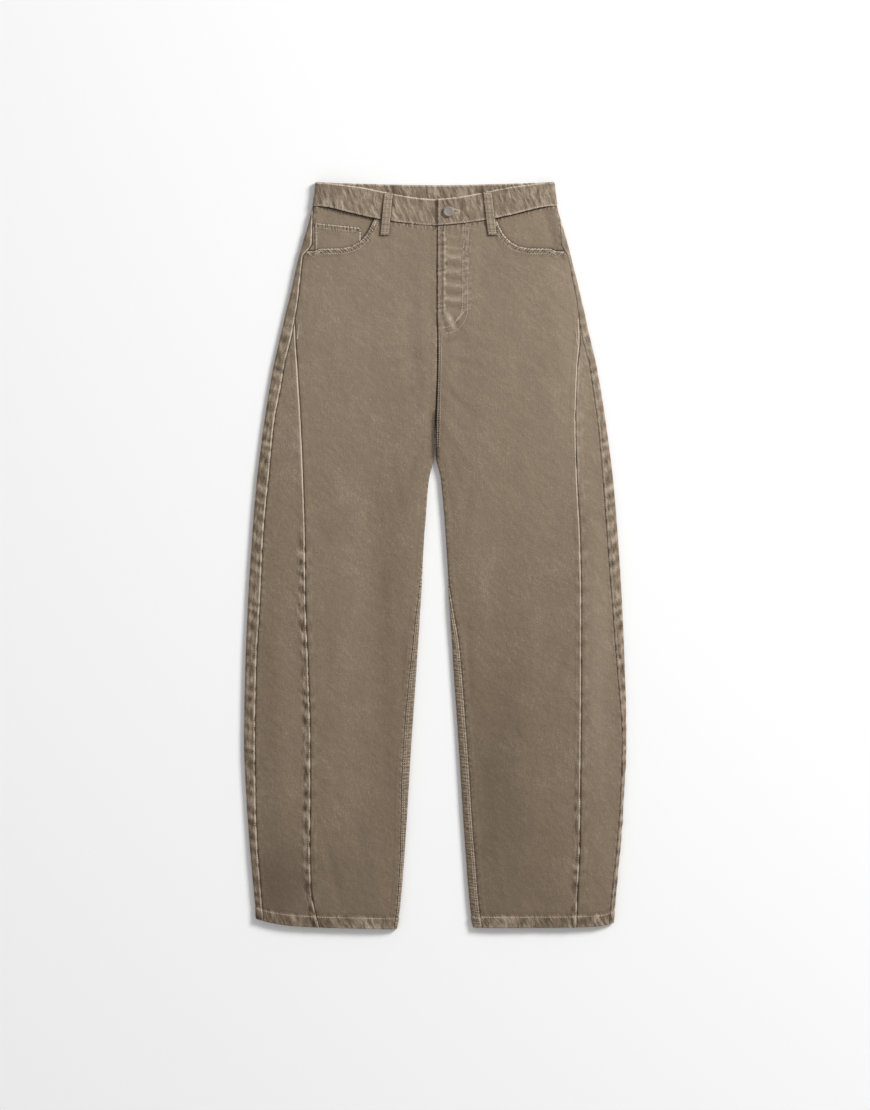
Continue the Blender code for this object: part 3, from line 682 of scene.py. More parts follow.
def band_lift(leg, across):
    """The band's end on the wearer's left rises over the underlap of the other end, which sinks."""
    size, ends = (BAND_RAISE, BAND_RAISE_ENDS) if leg == LEFT else (-BAND_SINK, BAND_SINK_ENDS)
    return size * (1 - eased(across, ends))


def mouth_distance(across, drop):
    """Distance below the pocket's mouth, from the drop's excess over the curve and the curve's slope."""
    slope = (pocket_mouth(across + 1) - pocket_mouth(across - 1)) / 2
    return (drop - pocket_mouth(across)) / np.hypot(1, slope)


# Ripples of the fly between its edge and its topstitching: drop, height.
FLY_RIPPLES = [
    (76, 0.3), (92, 0.35), (105, 0.7), (115, -0.5), (124, 0.55),
    (134, -0.5), (143.5, 0.6), (154, -0.5), (163, 0.75), (173, -0.4),
]
FLY_STITCH_ACROSS = (38.6, 45.5)

# Creases at the foot of the fly.
FLY_CREASES = [
    FOLDS[0],
    (LEFT, 14, 178, 27, 205, 3.0, 0.9),
    (LEFT, 9, 184, 19, 212, 2.6, -0.8),
    (LEFT, 24, 182, 33, 200, 2.6, -0.7),
    (LEFT, 6, 196, 26, 186, 3.0, 0.5),
    (LEFT, 10, 222, 34, 214, 3.6, -0.5),
]


def loop_shade(made, leg, across, drop):
    """Painted shade: the cloth is darker close to both sides of a belt loop and under its lower end."""
    head, foot = LOOP_ACROSS[leg]
    middle = head + (foot - head) * (drop - 15) / (LOOP_BOTTOM - 15)
    off = np.abs(across - middle)
    above_foot = 1 - eased(drop, (LOOP_BOTTOM, LOOP_BOTTOM + 3))
    made.wear -= 0.55 * bell(off - LOOP_WIDTH / 2 - 0.6, 1.6) * above_foot
    made.wear -= 0.5 * bell(drop - LOOP_BOTTOM - 1.2, 1.5) * (1 - eased(off, (5.0, 7.5)))


def front_finish(leg, across, drop):
    made = Finish(across, drop)
    below_band = drop - waist["front_seam"](np.abs(across)) - SEAM_GAP
    outer = np.where(drop < HIP_LEVEL, outseam_line[leg](drop), panel_line[leg](drop)) - across
    inner = across - inner_line(leg, drop) - np.maximum(inset[leg](drop), 0)
    made.relief += crumple(leg, across, drop, 3 + leg)
    made.relief += crease_height(FRONT_CREASES, leg, across, drop)
    # Lighter on the creases' ridges from wear, and darker in their troughs with painted shade.
    made.wear += 0.07 * crease_height(FRONT_CREASES, leg, across, drop)
    side = np.where(across > 82, mouth_distance(across, drop), FAR_FROM_SEAMS)
    made.seam(below_band, across, 6.0, over=-1, strength=0.75, width=6, ridge=0.1, ridge_to=6)
    made.seam(side, across + 0.9 * drop, 4.6, over=1.6, strength=1.3, width=8, ridge=0.75, ridge_to=10.5)
    low = eased(drop, (470, 520))
    dark = 0.15 + (0.2 * low if leg == RIGHT else 0.25 * low + 0.65 * eased(drop, (790, 880)))
    over = -1.0 if leg == RIGHT else 1.0
    made.seam(outer, drop, 23.0, over=np.where(drop < HIP_LEVEL, -1.0, over), strength=dark, width=9.0)
    lapped = np.where(drop < HIP_LEVEL, leg, 0.3)
    made.seam(inner, drop, 9.0, over=lapped, strength=np.where(drop > CROTCH, 0.35, 0.3), width=5)
    # Painted shadow in the fork between the legs, and painted shade beside the centre seam above it.
    made.wear -= 1.1 * bell(inner - 0.5, 4.0) * eased(drop, (306, 330)) * (1 - eased(drop, (374, 384)))
    made.wear -= 0.22 * bell(inner - 2.0, 7.0) * eased(drop, (240, 300)) * (1 - eased(drop, (374, 400)))
    loop_shade(made, leg, across, drop)
    seam_relief(made, np.abs(outer), drop, leg, 21 + leg)
    made.hem(leg, across, drop)
    if leg == LEFT:
        fly_finish(made, across, drop)
    return made


def fly_finish(made, across, drop):
    """The fly's flap: a stitched strip along its edge, ripples that hang between it and the topstitching,
    and the creases that run out from the foot of the fly. Their raised parts are lighter from wear, and their
    hollows darker with painted shade."""
    above = 1 - eased(drop, (176, 190))
    flap = (1 - eased(across, (34, 40))) * eased(across, (10, 16))
    for at, tall in FLY_RIPPLES:
        bent = drop - at - 0.10 * (across - 26) + 0.012 * (across - 25) ** 2
        made.relief += 0.9 * tall * bell(bent, 3.6) * flap
        made.wear += 0.62 * tall * bell(bent, 2.6) * flap
    made.relief += (0.5 * bell(across - 13.0, 1.8) - 0.5 * bell(across - 9.6, 1.4)) * above
    strip = 0.55 * bell(across - 13.4, 1.3) - 0.40 * bell(across - 9.8, 1.2)
    made.wear += strip * above * eased(drop, (62, 70))
    between_rows = (FLY_STITCH_ACROSS[0] + FLY_STITCH_ACROSS[1]) / 2
    rows = bell(across - between_rows, 4.6) * (1 - eased(drop, (172, 190)))
    made.relief += 0.28 * rows
    made.wear += 0.13 * rows
    made.pucker = np.maximum(made.pucker, 0.5 * bell(across - between_rows, 8) * above)
    made.pucker = np.maximum(made.pucker, 0.6 * (across < 16) * above)
    foot = crease_height(FLY_CREASES, LEFT, across, drop)
    made.relief += foot
    made.wear += 0.55 * foot


def panel_finish(leg, across, drop):
    made = Finish(across, drop)
    made.relief += crumple(leg, across, drop, 9 + leg)
    made.relief += crease_height(FRONT_CREASES, leg, across, drop)
    outer, inner = outseam_line[leg](drop) - across, across - panel_line[leg](drop)
    made.seam(outer, drop, 12.0, over=-1, strength=0.25, width=5, ridge=0.15, ridge_to=5)
    low = eased(drop, (470, 520))
    dark = 0.2 + (1.05 * low if leg == RIGHT else 0.1)
    made.seam(inner, drop, 23.0, over=1.0 if leg == RIGHT else -1.0, strength=dark, width=11.0)
    # A light line beside the panel seam over the hip: wear on the seam's edge and a painted highlight where
    # the leg rounds off.
    lit_and_worn_span = eased(drop, (235, 260)) * (1 - eased(drop, (400, 440)))
    made.wear += (0.5 * bell(inner - 1.6, 1.3) + 0.10 * bell(inner - 6, 8)) * lit_and_worn_span
    seam_relief(made, inner, drop, leg, 41 + leg)
    made.hem(leg, across, drop)
    return made


def back_finish(leg, across, drop, on_front):
    made = Finish(across, drop)
    under = crease_height(BACK_CREASES, leg, across, drop) + 0.5 * crumple(leg, across, drop, 17 + leg) - 0.25
    made.relief += np.where(on_front, 0.2 * crumple(leg, across, drop, 17 + leg), np.minimum(under, 0))
    rolled = across - outseam_line[leg](drop)
    round_fold = rolled + 2 * (lie["edge"](drop) - across) + 4
    outer = np.where(on_front, np.abs(rolled), round_fold)
    made.seam(outer, drop, 19.0, strength=0.95 - 0.45 * (drop < HIP_LEVEL), width=17, ridge=0.5, ridge_to=9)
    # Where the back comes round the outer fold onto the front it is lighter: wear on the fold and a painted
    # highlight.
    made.wear += np.where(on_front & (drop > HIP_LEVEL), 0.10, 0.0)
    seam_relief(made, outer, drop, leg, 51 + leg)
    inner = across - inner_line(leg, drop)
    strip = np.where(on_front, np.abs(inset[leg](drop) - inner), np.maximum(inset[leg](drop), 0) + inner)
    made.seam(strip, drop, 5.0, over=0.6, strength=0.7, width=13, ridge=0.3, ridge_to=8)
    made.seam(drop - waist["back_seam"](across), across, 6.5, over=-1, strength=0.7, width=6, ridge=0.2)
    made.hem(leg, across, drop)
    return made


def facing_finish(leg, across, drop):
    made = Finish(across, drop)
    made.relief += crumple(leg, across, drop, 23 + leg)
    below_band = drop - waist["front_seam"](np.abs(across)) - SEAM_GAP
    made.seam(below_band, across, 6.5, over=-1, strength=0.6, width=5, ridge=0.1)
    made.seam(outseam_line[leg](drop) - across, drop, 9.0, over=-0.6, strength=0.6, width=5)
    mouth = mouth_distance(across, drop)
    # Painted shadow of the front's pocket edge on the facing, just below the mouth.
    made.wear -= 0.5 * bell(mouth, 1.7) + 0.16 * bell(mouth, 6.0)
    return made


def coin_finish(across, drop):
    size = COIN_POCKET
    made = Finish(across, drop)
    share = (across - size["inner"]) / (size["outer"] - size["inner"])
    top = size["top_inner"] + (size["top_outer"] - size["top_inner"]) * share
    made.relief += crumple(RIGHT, across, drop, 61)
    made.seam(drop - top, across, 4.4, over=1.3, strength=1.1, width=8, roll=0.3, ridge=0.35, ridge_to=9)
    for side, over in ((across - size["inner"], 1.0), (size["outer"] - across, 1.6)):
        made.seam(side, drop, 5.0, over, strength=0.5, width=4, roll=0.4, ridge=0.2, ridge_to=5)
    # Painted shadow of the front's pocket edge on the coin pocket.
    made.wear -= 0.4 * bell(mouth_distance(across, drop), 1.7)
    return made


def band_finish(leg, across, drop, top, bottom):
    made = Finish(across, drop)
    x = leg * across
    made.seam(drop - top, x, 5.0, over=1.3, strength=0.0, roll=0.45, ridge=0.3, ridge_to=5)
    made.seam(bottom - drop, x, 5.0, over=1.0, strength=0.0, roll=0.5, ridge=0.2, ridge_to=5)
    lean = x + 7.0 * rumple(x, drop, 15.0, 70)
    ripple = rumple(lean, drop * 0.30, 4.8, 71) + 0.7 * rumple(lean, drop * 0.45, 8.5, 73)
    made.relief += 0.40 * ripple
    made.wear += 0.22 * ripple + 0.03
    made.roped += 1.15
    loop_shade(made, leg, across, drop)
    if leg == LEFT:
        # A light ring of buttonhole stitching with painted shade in its slit, and along the band's end a
        # light worn line with painted shade at the end's edge, which stands over the underlap.
        hole = np.hypot((across - BUTTON_ACROSS - 6.5) / 8.5, (drop - BUTTON_DROP) / 3.4)
        made.wear += 0.45 * bell(hole - 1.0, 0.35) - 0.5 * bell(hole, 0.5)
        made.wear += 0.5 * bell(across - 4.6, 1.2) - 0.55 * bell(across - 2.6, 1.1)
    return made


def loop_finish(off, run):
    """Belt loop: two stitched grooves with raised edges and middle, lighter from wear on the raised parts,
    with painted shade in the grooves and at the stitched foot; off is across its width, run along it.
    """
    made = Finish(off, run)
    groove = bell(np.abs(off) - 3.3, 0.8)
    made.relief += -0.45 * groove + 0.12 * rumple(off, run, 4.0, 77)
    made.relief -= 0.6 * bell(np.abs(off) - LOOP_WIDTH / 2, 0.9)
    made.wear += -0.5 * groove + 0.4 * bell(np.abs(off) - 4.9, 0.8) + 0.26 * bell(off, 1.7) + 0.06
    made.wear -= 0.5 * bell(run - LOOP_BOTTOM + 2.6, 1.0)
    made.along = run / 5.0
    made.pucker += 0.35
    return made


def sheet_faces(rows, columns):
    """Quads of a grid of points as an array of corners."""
    at = np.arange(rows * columns).reshape(rows, columns)
    quads = [at[:-1, :-1], at[1:, :-1], at[1:, 1:], at[:-1, 1:]]
    return np.stack(quads, -1).reshape(-1, 4)


def new_mesh(name, points, quads, finish_slot):
    """A mesh object from points in millimetres and an array of faces."""
    mesh = bpy.data.meshes.new(name)
    mesh.from_pydata((points * MM).tolist(), [], quads.tolist())
    mesh.update()
    obj = bpy.data.objects.new(name, mesh)
    bpy.context.scene.collection.objects.link(obj)
    mesh.materials.append(cloth_materials()[finish_slot])
    mesh.shade_smooth()
    return obj


def put_attribute(mesh, name, values):
    made = mesh.attributes.new(name, "FLOAT", "POINT")
    made.data.foreach_set("value", np.ascontiguousarray(values, dtype=np.float32))


def put_seam_map(mesh, along, away):
    """A UV map that gives each point's place along the nearest seam and its distance from it."""
    corners = np.empty(len(mesh.loops), dtype=np.int32)
    mesh.loops.foreach_get("vertex_index", corners)
    made = mesh.uv_layers.new(name="seam")
    values = np.stack([along[corners], away[corners]], -1).astype(np.float32)
    made.data.foreach_set("uv", values.ravel())


def cloth_wall(name, outer, inner, finish, tone, nodes, slot="twill"):
    """A closed sheet between two grids of points, with the finish of its outer face on both faces. The rim
    joins the last row and column of one grid to those of the other."""
    rows, columns = outer.shape[:2]
    count = rows * columns
    face = sheet_faces(rows, columns)
    at = np.arange(count).reshape(rows, columns)
    border = np.concatenate([at[0, :-1], at[:-1, -1], at[-1, :0:-1], at[:0:-1, 0]])
    after = np.roll(border, -1)
    rim = np.stack([border, after, after + count, border + count], -1)
    quads = np.concatenate([face, face[:, ::-1] + count, rim])
    normal = np.cross(outer[1, 0] - outer[0, 0], outer[0, 1] - outer[0, 0])
    if normal @ (outer[0, 0] - inner[0, 0]) < 0:
        quads = quads[:, ::-1]
    points = np.concatenate([outer.reshape(-1, 3), inner.reshape(-1, 3)])
    obj = new_mesh(name, points, quads, slot)

    def twice(values):
        return np.concatenate([values.ravel(), values.ravel()])

    for field in ("wear", "roped", "pucker", "lap"):
        put_attribute(obj.data, field, twice(getattr(finish, field)))
    put_attribute(obj.data, "tone", twice(tone))
    put_seam_map(obj.data, twice(finish.along), twice(finish.away))
    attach(obj, "root")
    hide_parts(*nodes)
    return obj


def side_name(leg):
    return "right" if leg == RIGHT else "left"


def settings():
    return bpy.context.scene.trousers


def on_leg_front(leg, way, drop):
    """Across, and whether the point is on the front side of the ring."""
    under = way % 2 > 1
    front = np.where(under, 2 - way % 2, way % 2)
    return across_of(leg, front, drop), ~under


# How each piece stands off the ring, for its own mesh and for the stitches that lie on it.


def front_surface(leg, way, drop):
    past = (leg == RIGHT) & (drop < HIP_LEVEL) & (way > UNDERLAP_FROM_WAY)
    across = np.where(past, ring(leg, way, drop, True)[0], ring(leg, way, drop)[0])
    finish = front_finish(leg, across, drop)
    finish.relief *= settings().crease_height
    lift = fly_lift(leg, across, drop) + hem_thickness(leg, across, drop) / 2 + finish.relief - TURN_SEAM_AWAY

    def placed(depth=0.0):
        near, far = skin(leg, way, drop, lift - depth), skin(leg, way, drop, lift - depth, True)
        return np.where(past[..., None], far, near)

    return placed, finish, wash_and_painted_light(leg, across, drop), hem_thickness(leg, across, drop)


def plain_surface(leg, way, drop, lift, finish, tone, extra=0.0, on_front=False):
    """Points at a depth under the lifted ring, with the finish, the tone of wash fading and painted light and
    shade, and the extra thickness of the cloth.
    """

    def placed(depth=0.0):
        return skin(leg, way, drop, lift - depth, on_front)

    return placed, finish, tone, extra


def panel_surface(leg, way, drop):
    across, _ = on_leg_front(leg, way, drop)
    finish = panel_finish(leg, across, drop)
    extra = hem_thickness(leg, across, drop)
    lift = extra / 2 + finish.relief - TURN_SEAM_AWAY
    return plain_surface(leg, way, drop, lift, finish, wash_and_painted_light(leg, across, drop), extra)


def back_surface(leg, way, drop):
    across, on_front = on_leg_front(leg, way, drop)
    finish = back_finish(leg, across, drop, on_front)
    extra = hem_thickness(leg, across, drop)
    lift = extra / 2 + finish.relief - TURN_SEAM_AWAY * on_front
    return plain_surface(leg, way, drop, lift, finish, wash_and_painted_light(leg, across, drop), extra)


def facing_surface(leg, way, drop):
    across, _ = on_leg_front(leg, way, drop)
    finish = facing_finish(leg, across, drop)
    lift = finish.relief * 0.5 - facing_sink(across, drop) - TURN_SEAM_AWAY
    return plain_surface(leg, way, drop, lift, finish, wash_and_painted_light(leg, across, drop))


def coin_surface(leg, way, drop):
    across, _ = on_leg_front(leg, way, drop)
    finish = coin_finish(across, drop)
    lift = COIN_CLOTH + COIN_GAP - facing_sink(across, drop) + finish.relief * 0.5 - TURN_SEAM_AWAY
    return plain_surface(leg, way, drop, lift, finish, wash_and_painted_light(leg, across, drop))


def band_surface(leg, way, drop, on_front):
    across, _ = ring(leg, way, drop, on_front)
    where = np.abs(across)
    names = ("front_top", "front_seam") if on_front else ("back_top", "back_seam")
    top, bottom = waist[names[0]](where), waist[names[1]](where)
    finish = band_finish(leg, across, drop, top, bottom)
    relief = finish.relief if on_front else np.minimum(finish.relief - 0.3, 0)
    lift = BAND_PROUD + band_lift(leg, across) * on_front + relief
    return plain_surface(leg, way, drop, lift, finish, wash_and_painted_light(leg, where, drop), on_front=on_front)


def loop_surface(leg, off, drop):
    """A belt loop by the distance off its middle line and the drop."""
    upper, lower = LOOP_ACROSS[leg]
    top = float(waist["front_top"](np.array(upper))) + 1.0
    run = (drop - top) / (LOOP_BOTTOM - top)
    across = upper + (lower - upper) * run + off
    way = way_to(leg, across, drop)
    seam = waist["front_seam"](np.abs(across))
    rest = BAND_PROUD * (1 - eased(drop, (seam + LOOP_STEP[0], seam + LOOP_STEP[1])))
    base = rest + SEAM_GAP + LOOP_BOW * np.sin(math.pi * np.clip(run, 0, 1)) ** 2
    finish = loop_finish(off, drop)
    lift = base + LOOP_CLOTH + finish.relief
    return plain_surface(leg, way, drop, lift, finish, wash_and_painted_light(leg, across, drop))


def leg_lines(leg, tops):
    """The lines that a leg piece's rows run between, down to the hem's edge."""
    return tops + [
        level(CROTCH),
        lambda across: hem_edge[leg](across) - HEM_HEIGHT,
        hem_edge[leg],
    ]


def make_cloth(name, surface, leg, way, drop, thickness=CLOTH):
    """A wall of cloth on a surface."""
    placed, finish, tone, extra = surface(leg, way, drop)
    obj = cloth_wall(f"{name}_cloth", placed(), placed(thickness + extra), finish, tone, [name])
    return obj


def make_front(leg):
    """The main front: rows from the waistband and pocket mouth to the hem, columns from outseam to inseam."""
    plain = inseam(leg, -SEAM_CLOSE)
    side, panel = outseam(leg, SEAM_CLOSE), panel_seam(leg, SEAM_CLOSE)
    under = kept(lambda drop: way_to(leg, inner_line(leg, drop) - FLY_UNDERLAP, drop))

    def outer_way(drop):
        return np.where(drop < HIP_LEVEL, side(drop), panel(drop))

    def inner_way(drop):
        if leg == LEFT:
            return plain(drop)
        share = 1 - eased(drop, (HIP_LEVEL - FLY_ROUND, HIP_LEVEL))
        return plain(drop) + (under(drop) - plain(drop)) * share

    def top(across):
        on_band = waist["front_seam"](np.abs(across)) + SEAM_CLOSE
        return np.where(across < POCKET_MOUTH[1][0], on_band, pocket_mouth(across))

    lines = leg_lines(leg, [top, level(HIP_LEVEL)])
    way, drop = lattice(
        leg, [outer_way, inner_way], [112], lines, [56, 66, 220, 10], [0.5], [0.3, 0.0, 0.0, 0.0]
    )
    make_cloth(f"front_{side_name(leg)}", front_surface, leg, way, drop)


def make_side_panel(leg):
    """The long wedge that rounds the leg, from a point at the hip to the hem."""
    ways = [outseam(leg, SEAM_CLOSE), panel_seam(leg, -SEAM_CLOSE)]
    lines = leg_lines(leg, [level(HIP_LEVEL)])
    way, drop = lattice(leg, ways, [30], lines, [80, 290, 10], [0.4])
    name = f"side_panel_{side_name(leg)}"
    make_cloth(name, panel_surface, leg, way, drop)


def make_back(leg):
    """The back, from the inseam under the leg and round the outer fold to the outseam."""
    side = outseam(leg, -SEAM_CLOSE)
    ways = [inseam(leg, SEAM_CLOSE), lambda drop: 2 + 0 * drop, lambda drop: 2 + side(drop)]

    def top(across):
        return waist["back_seam"](across) + SEAM_CLOSE

    lines = leg_lines(leg, [top, level(POCKET_LEVEL), level(HIP_LEVEL)])
    way, drop = lattice(leg, ways, [56, 22], lines, [24, 34, 62, 190, 10], [0.2, 0.3])
    make_cloth(f"back_{side_name(leg)}", back_surface, leg, way, drop)


def make_facing(leg):
    """The hip piece in the pocket's mouth."""
    def upper(across):
        return waist["front_seam"](across) + SEAM_GAP

    def lower(across):
        mouth = np.maximum(pocket_mouth(across), POCKET_MOUTH[2][1])
        under = FACING_UNDERLAP * (1 - eased(across, FACING_UNDERLAP_ENDS))
        return mouth + under - SEAM_GAP

    inner = kept(lambda drop: way_to(leg, FACING_INNER + 0 * drop, drop))
    ways = [outseam(leg, SEAM_GAP / 2 + FACING_CLEAR), inner]
    way, drop = lattice(leg, ways, [64], [upper, lower], [34], [0.2])
    name = f"pocket_facing_{side_name(leg)}"
    make_cloth(name, facing_surface, leg, way, drop)


def make_coin_pocket():
    """The small patch pocket on the wearer's right facing."""
    size = COIN_POCKET
    ways = [
        kept(lambda drop: way_to(RIGHT, size["outer"] + 0 * drop, drop)),
        kept(lambda drop: way_to(RIGHT, size["inner"] + 0 * drop, drop)),
    ]

    def top(across):
        share = (across - size["inner"]) / (size["outer"] - size["inner"])
        return size["top_inner"] + (size["top_outer"] - size["top_inner"]) * share

    way, drop = lattice(RIGHT, ways, [60], [top, level(size["bottom"])], [34], [0.2])
    make_cloth("coin_pocket", coin_surface, RIGHT, way, drop, COIN_CLOTH)


def band_stretch(leg, ways, on_front):
    """Outer and inner points of a stretch of the waistband, with its finish."""
    names = ("front_top", "front_seam") if on_front else ("back_top", "back_seam")
    share = np.linspace(0, 1, BAND_ROWS)[:, None]
    way = np.broadcast_to(ways, (BAND_ROWS, len(ways)))
    drop = 0 * way
    for _ in range(BAND_TURNS):
        across, _ = ring(leg, way, drop, on_front)
        upper, lower = (waist[name](np.abs(across)) for name in names)
        drop = upper + (lower - upper) * share
    placed, finish, tone, _ = band_surface(leg, way, drop, on_front)
    return placed(), placed(BAND_PROUD + BAND_DEPTH - 0.2), finish, tone


def make_waistband():
    """One strip of cloth: from the underlap, round the wearer's right side, across the back, and round the
    left side to the end that buttons over the underlap."""
    start = np.array(40.0)
    under_end = float(way_to(RIGHT, np.array(-BAND_UNDERLAP), start))
    over_end = float(shifted(LEFT, 1.0, start, -SEAM_GAP / 2, True))
    parts = [
        band_stretch(RIGHT, np.linspace(under_end, 0, BAND_COLUMNS[0]), True),
        band_stretch(RIGHT, 2 - np.linspace(0, 1 - 1e-6, BAND_COLUMNS[1]), False),
        band_stretch(LEFT, 1 + np.linspace(1e-6, 1, BAND_COLUMNS[2]), False),
        band_stretch(LEFT, np.linspace(0, over_end, BAND_COLUMNS[3]), True),
    ]

    def joined(pick):
        return np.concatenate([pick(parts[0])] + [pick(part)[:, 1:] for part in parts[1:]], axis=1)

    outer, inner = joined(lambda part: part[0]), joined(lambda part: part[1])
    finish = Finish(outer[..., 0], outer[..., 1])
    for field in Finish.FIELDS:
        setattr(finish, field, joined(lambda part: getattr(part[2], field)))
    obj = cloth_wall("waistband_cloth", outer, inner, finish, joined(lambda part: part[3]), ["waistband"])


def make_belt_loop(leg):
    """A narrow folded strip, stitched down at both ends, that stands a little off the band."""
    upper, _ = LOOP_ACROSS[leg]
    top = float(waist["front_top"](np.array(upper))) + 1.0
    drop = np.repeat(np.linspace(top, LOOP_BOTTOM, 70)[:, None], 20, axis=1)
    off = np.repeat(np.linspace(-0.5, 0.5, 20)[None, :] * LOOP_WIDTH, 70, axis=0)
    placed, finish, tone, _ = loop_surface(leg, off, drop)
    name = f"belt_loop_{side_name(leg)}"
    obj = cloth_wall(f"{name}_cloth", placed(), placed(LOOP_CLOTH), finish, tone, [name])


# Stitching


def path_points(surface, leg, ways, drops, **more):
    """Points in millimetres along a line on a surface, and the points below them inside the cloth."""
    placed = surface(leg, ways, drops, **more)[0]
    return placed(-STITCH_PROUD), placed(1.0)


def spaced(low, inside, pitch):
    """Places, directions and normals at even steps of the pitch along a line of points."""
    run = np.concatenate([[0], np.cumsum(np.linalg.norm(np.diff(low, axis=0), axis=1))])
    count = max(int(run[-1] / pitch), 1)
    at = (np.arange(count) + 0.5) * run[-1] / count
    place = np.stack([np.interp(at, run, low[:, k]) for k in range(3)], -1)
    within = np.stack([np.interp(at, run, inside[:, k]) for k in range(3)], -1)
    reach_on = np.minimum(at + pitch * 0.4, run[-1])
    reach_back = np.maximum(at - pitch * 0.4, 0)
    ahead = np.stack([np.interp(reach_on, run, low[:, k]) for k in range(3)], -1)
    behind = np.stack([np.interp(reach_back, run, low[:, k]) for k in range(3)], -1)
    forward = ahead - behind
    forward /= np.linalg.norm(forward, axis=1, keepdims=True)
    normal = place - within
    normal -= forward * (normal * forward).sum(1, keepdims=True)
    normal /= np.linalg.norm(normal, axis=1, keepdims=True)
    return place, forward, normal


# A stitch from end to end: share of the length, share of the breadth and share of the height.
STITCH_SECTIONS = [
    (-0.5, 0.35, -0.3), (-0.34, 0.8, 0.55), (0.0, 1.0, 1.0), (0.34, 0.8, 0.55), (0.5, 0.35, -0.3),
]
STITCH_SIDES = 5


def stitch_mesh(place, forward, normal, length=STITCH_LENGTH, breadth=STITCH_BREADTH, height=STITCH_HEIGHT):
    """Points and faces of one bead of thread at each place: half round, thickest in its middle."""
    across = np.cross(forward, normal)
    turn = np.linspace(0, math.pi, STITCH_SIDES)
    rings = []
    for along, wide, tall in STITCH_SECTIONS:
        for angle in turn:
            side = math.cos(angle) * wide * breadth / 2
            rise = (math.sin(angle) * max(tall, 0.1) + min(tall, 0)) * height
            rings.append(place + forward * along * length + across * side + normal * rise)
    points = np.stack(rings, 1)
    face = sheet_faces(len(STITCH_SECTIONS), STITCH_SIDES)
    each = len(STITCH_SECTIONS) * STITCH_SIDES
    quads = (face[None] + (np.arange(len(place)) * each)[:, None, None]).reshape(-1, 4)
    return points.reshape(-1, 3), quads


class Thread:
    """Collects stitches, to be made into one joined mesh."""

    def __init__(self):
        self.points, self.quads, self.total = [], [], 0

    def add(self, points, quads):
        self.points.append(points)
        self.quads.append(quads + self.total)
        self.total += len(points)

    def line(self, surface, leg, ways, drops, pitch=STITCH_PITCH, **more):
        low, inside = path_points(surface, leg, ways, drops, **more)
        self.add(*stitch_mesh(*spaced(low, inside, pitch), length=pitch * STITCH_LENGTH / STITCH_PITCH))

    def bartack(self, surface, leg, ways, drops, width=4.0, **more):
        """Close stitches that lie across a short line."""
        low, inside = path_points(surface, leg, ways, drops, **more)
        place, forward, normal = spaced(low, inside, 0.75)
        side = np.cross(forward, normal)
        tilt = np.where(np.arange(len(place)) % 2 == 0, 0.16, -0.16)[:, None]
        turned = side + forward * tilt
        turned /= np.linalg.norm(turned, axis=1, keepdims=True)
        self.add(*stitch_mesh(place, turned, normal, length=width, breadth=0.7, height=0.55))

    def finish(self, name):
        points, quads = np.concatenate(self.points), np.concatenate(self.quads)
        points[:, 2] = np.maximum(points[:, 2], FLOOR_CLEAR)
        obj = new_mesh(name, points, quads, "thread")
        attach(obj, "root")
        return obj


def between(start, end, count=120):
    return np.linspace(start, end, count)


def straight(leg, ax, ad, bx, bd, count=80):
    """Way and drop along a straight line on the front."""
    across, drop = between(ax, bx, count), between(ad, bd, count)
    return way_to(leg, across, drop), drop


def seam_stitches():
    """Topstitching beside the long seams and along the hems."""
    thread = Thread()
    for leg in (RIGHT, LEFT):
        drop = between(62, 1006, 900)
        rolled = shifted(leg, outseam(leg)(drop), drop, -2.2)
        thread.line(back_surface, leg, 2 + np.minimum(rolled, outseam(leg)(drop)), drop)
        drop = between(200, 1008, 800)
        if leg == RIGHT:
            thread.line(panel_surface, leg, shifted(leg, panel_seam(leg)(drop), drop, -2.0), drop)
        else:
            thread.line(front_surface, leg, shifted(leg, panel_seam(leg)(drop), drop, 2.0), drop)
        drop = between(560, 1008, 500)
        for away in (1.4, 4.6):
            middle = inseam(leg, away)(drop)
            thread.line(back_surface, leg, middle, drop)
        hem_stitches(thread, leg)
    return thread.finish("seam_stitching")


def hem_stitches(thread, leg):
    """One line all round the leg, just inside the hem's fold."""
    rise = HEM_HEIGHT - 2.6
    ends = outseam(leg), panel_seam(leg), inseam(leg)
    for surface, first, last in (
        (panel_surface, ends[0](1010.0) + 0.004, ends[1](1010.0) - 0.004),
        (front_surface, ends[1](1010.0) + 0.004, ends[2](1010.0) - 0.004),
        (back_surface, ends[2](1010.0) + 0.004, 2 + ends[0](1010.0) - 0.004),
    ):
        way = between(first, last, 300)
        across, _ = on_leg_front(leg, way, np.full(way.shape, 1010.0))
        thread.line(surface, leg, way, hem_edge[leg](across) - rise)


def fly_stitches():
    """The double line beside the fly, which curves into the centre seam, and the seam's own lines."""
    thread = Thread()
    for across, foot in zip(FLY_STITCH_ACROSS, (186, 193)):
        thread.line(front_surface, LEFT, *straight(LEFT, across, 63, across - 0.6, foot - 18))
        turn = between(0, math.pi / 2, 60)
        middle = across - 30
        a = middle + 29.4 * np.cos(turn)
        d = foot - 18 + 34 * np.sin(turn)
        keep = a > 5.2
        thread.line(front_surface, LEFT, way_to(LEFT, a[keep], d[keep]), d[keep])
    thread.line(front_surface, LEFT, *straight(LEFT, 5.6, 62, 5.6, 196), pitch=3.0)
    for across in (6.2, 9.4):
        thread.line(front_surface, LEFT, *straight(LEFT, across, 212, across - 3.2, 366))
    thread.bartack(front_surface, LEFT, *straight(LEFT, 39, 180, 29, 192), width=3.2)
    thread.bartack(front_surface, LEFT, *straight(LEFT, 6, 205, 13, 200), width=3.0)
    return thread.finish("fly_stitching")


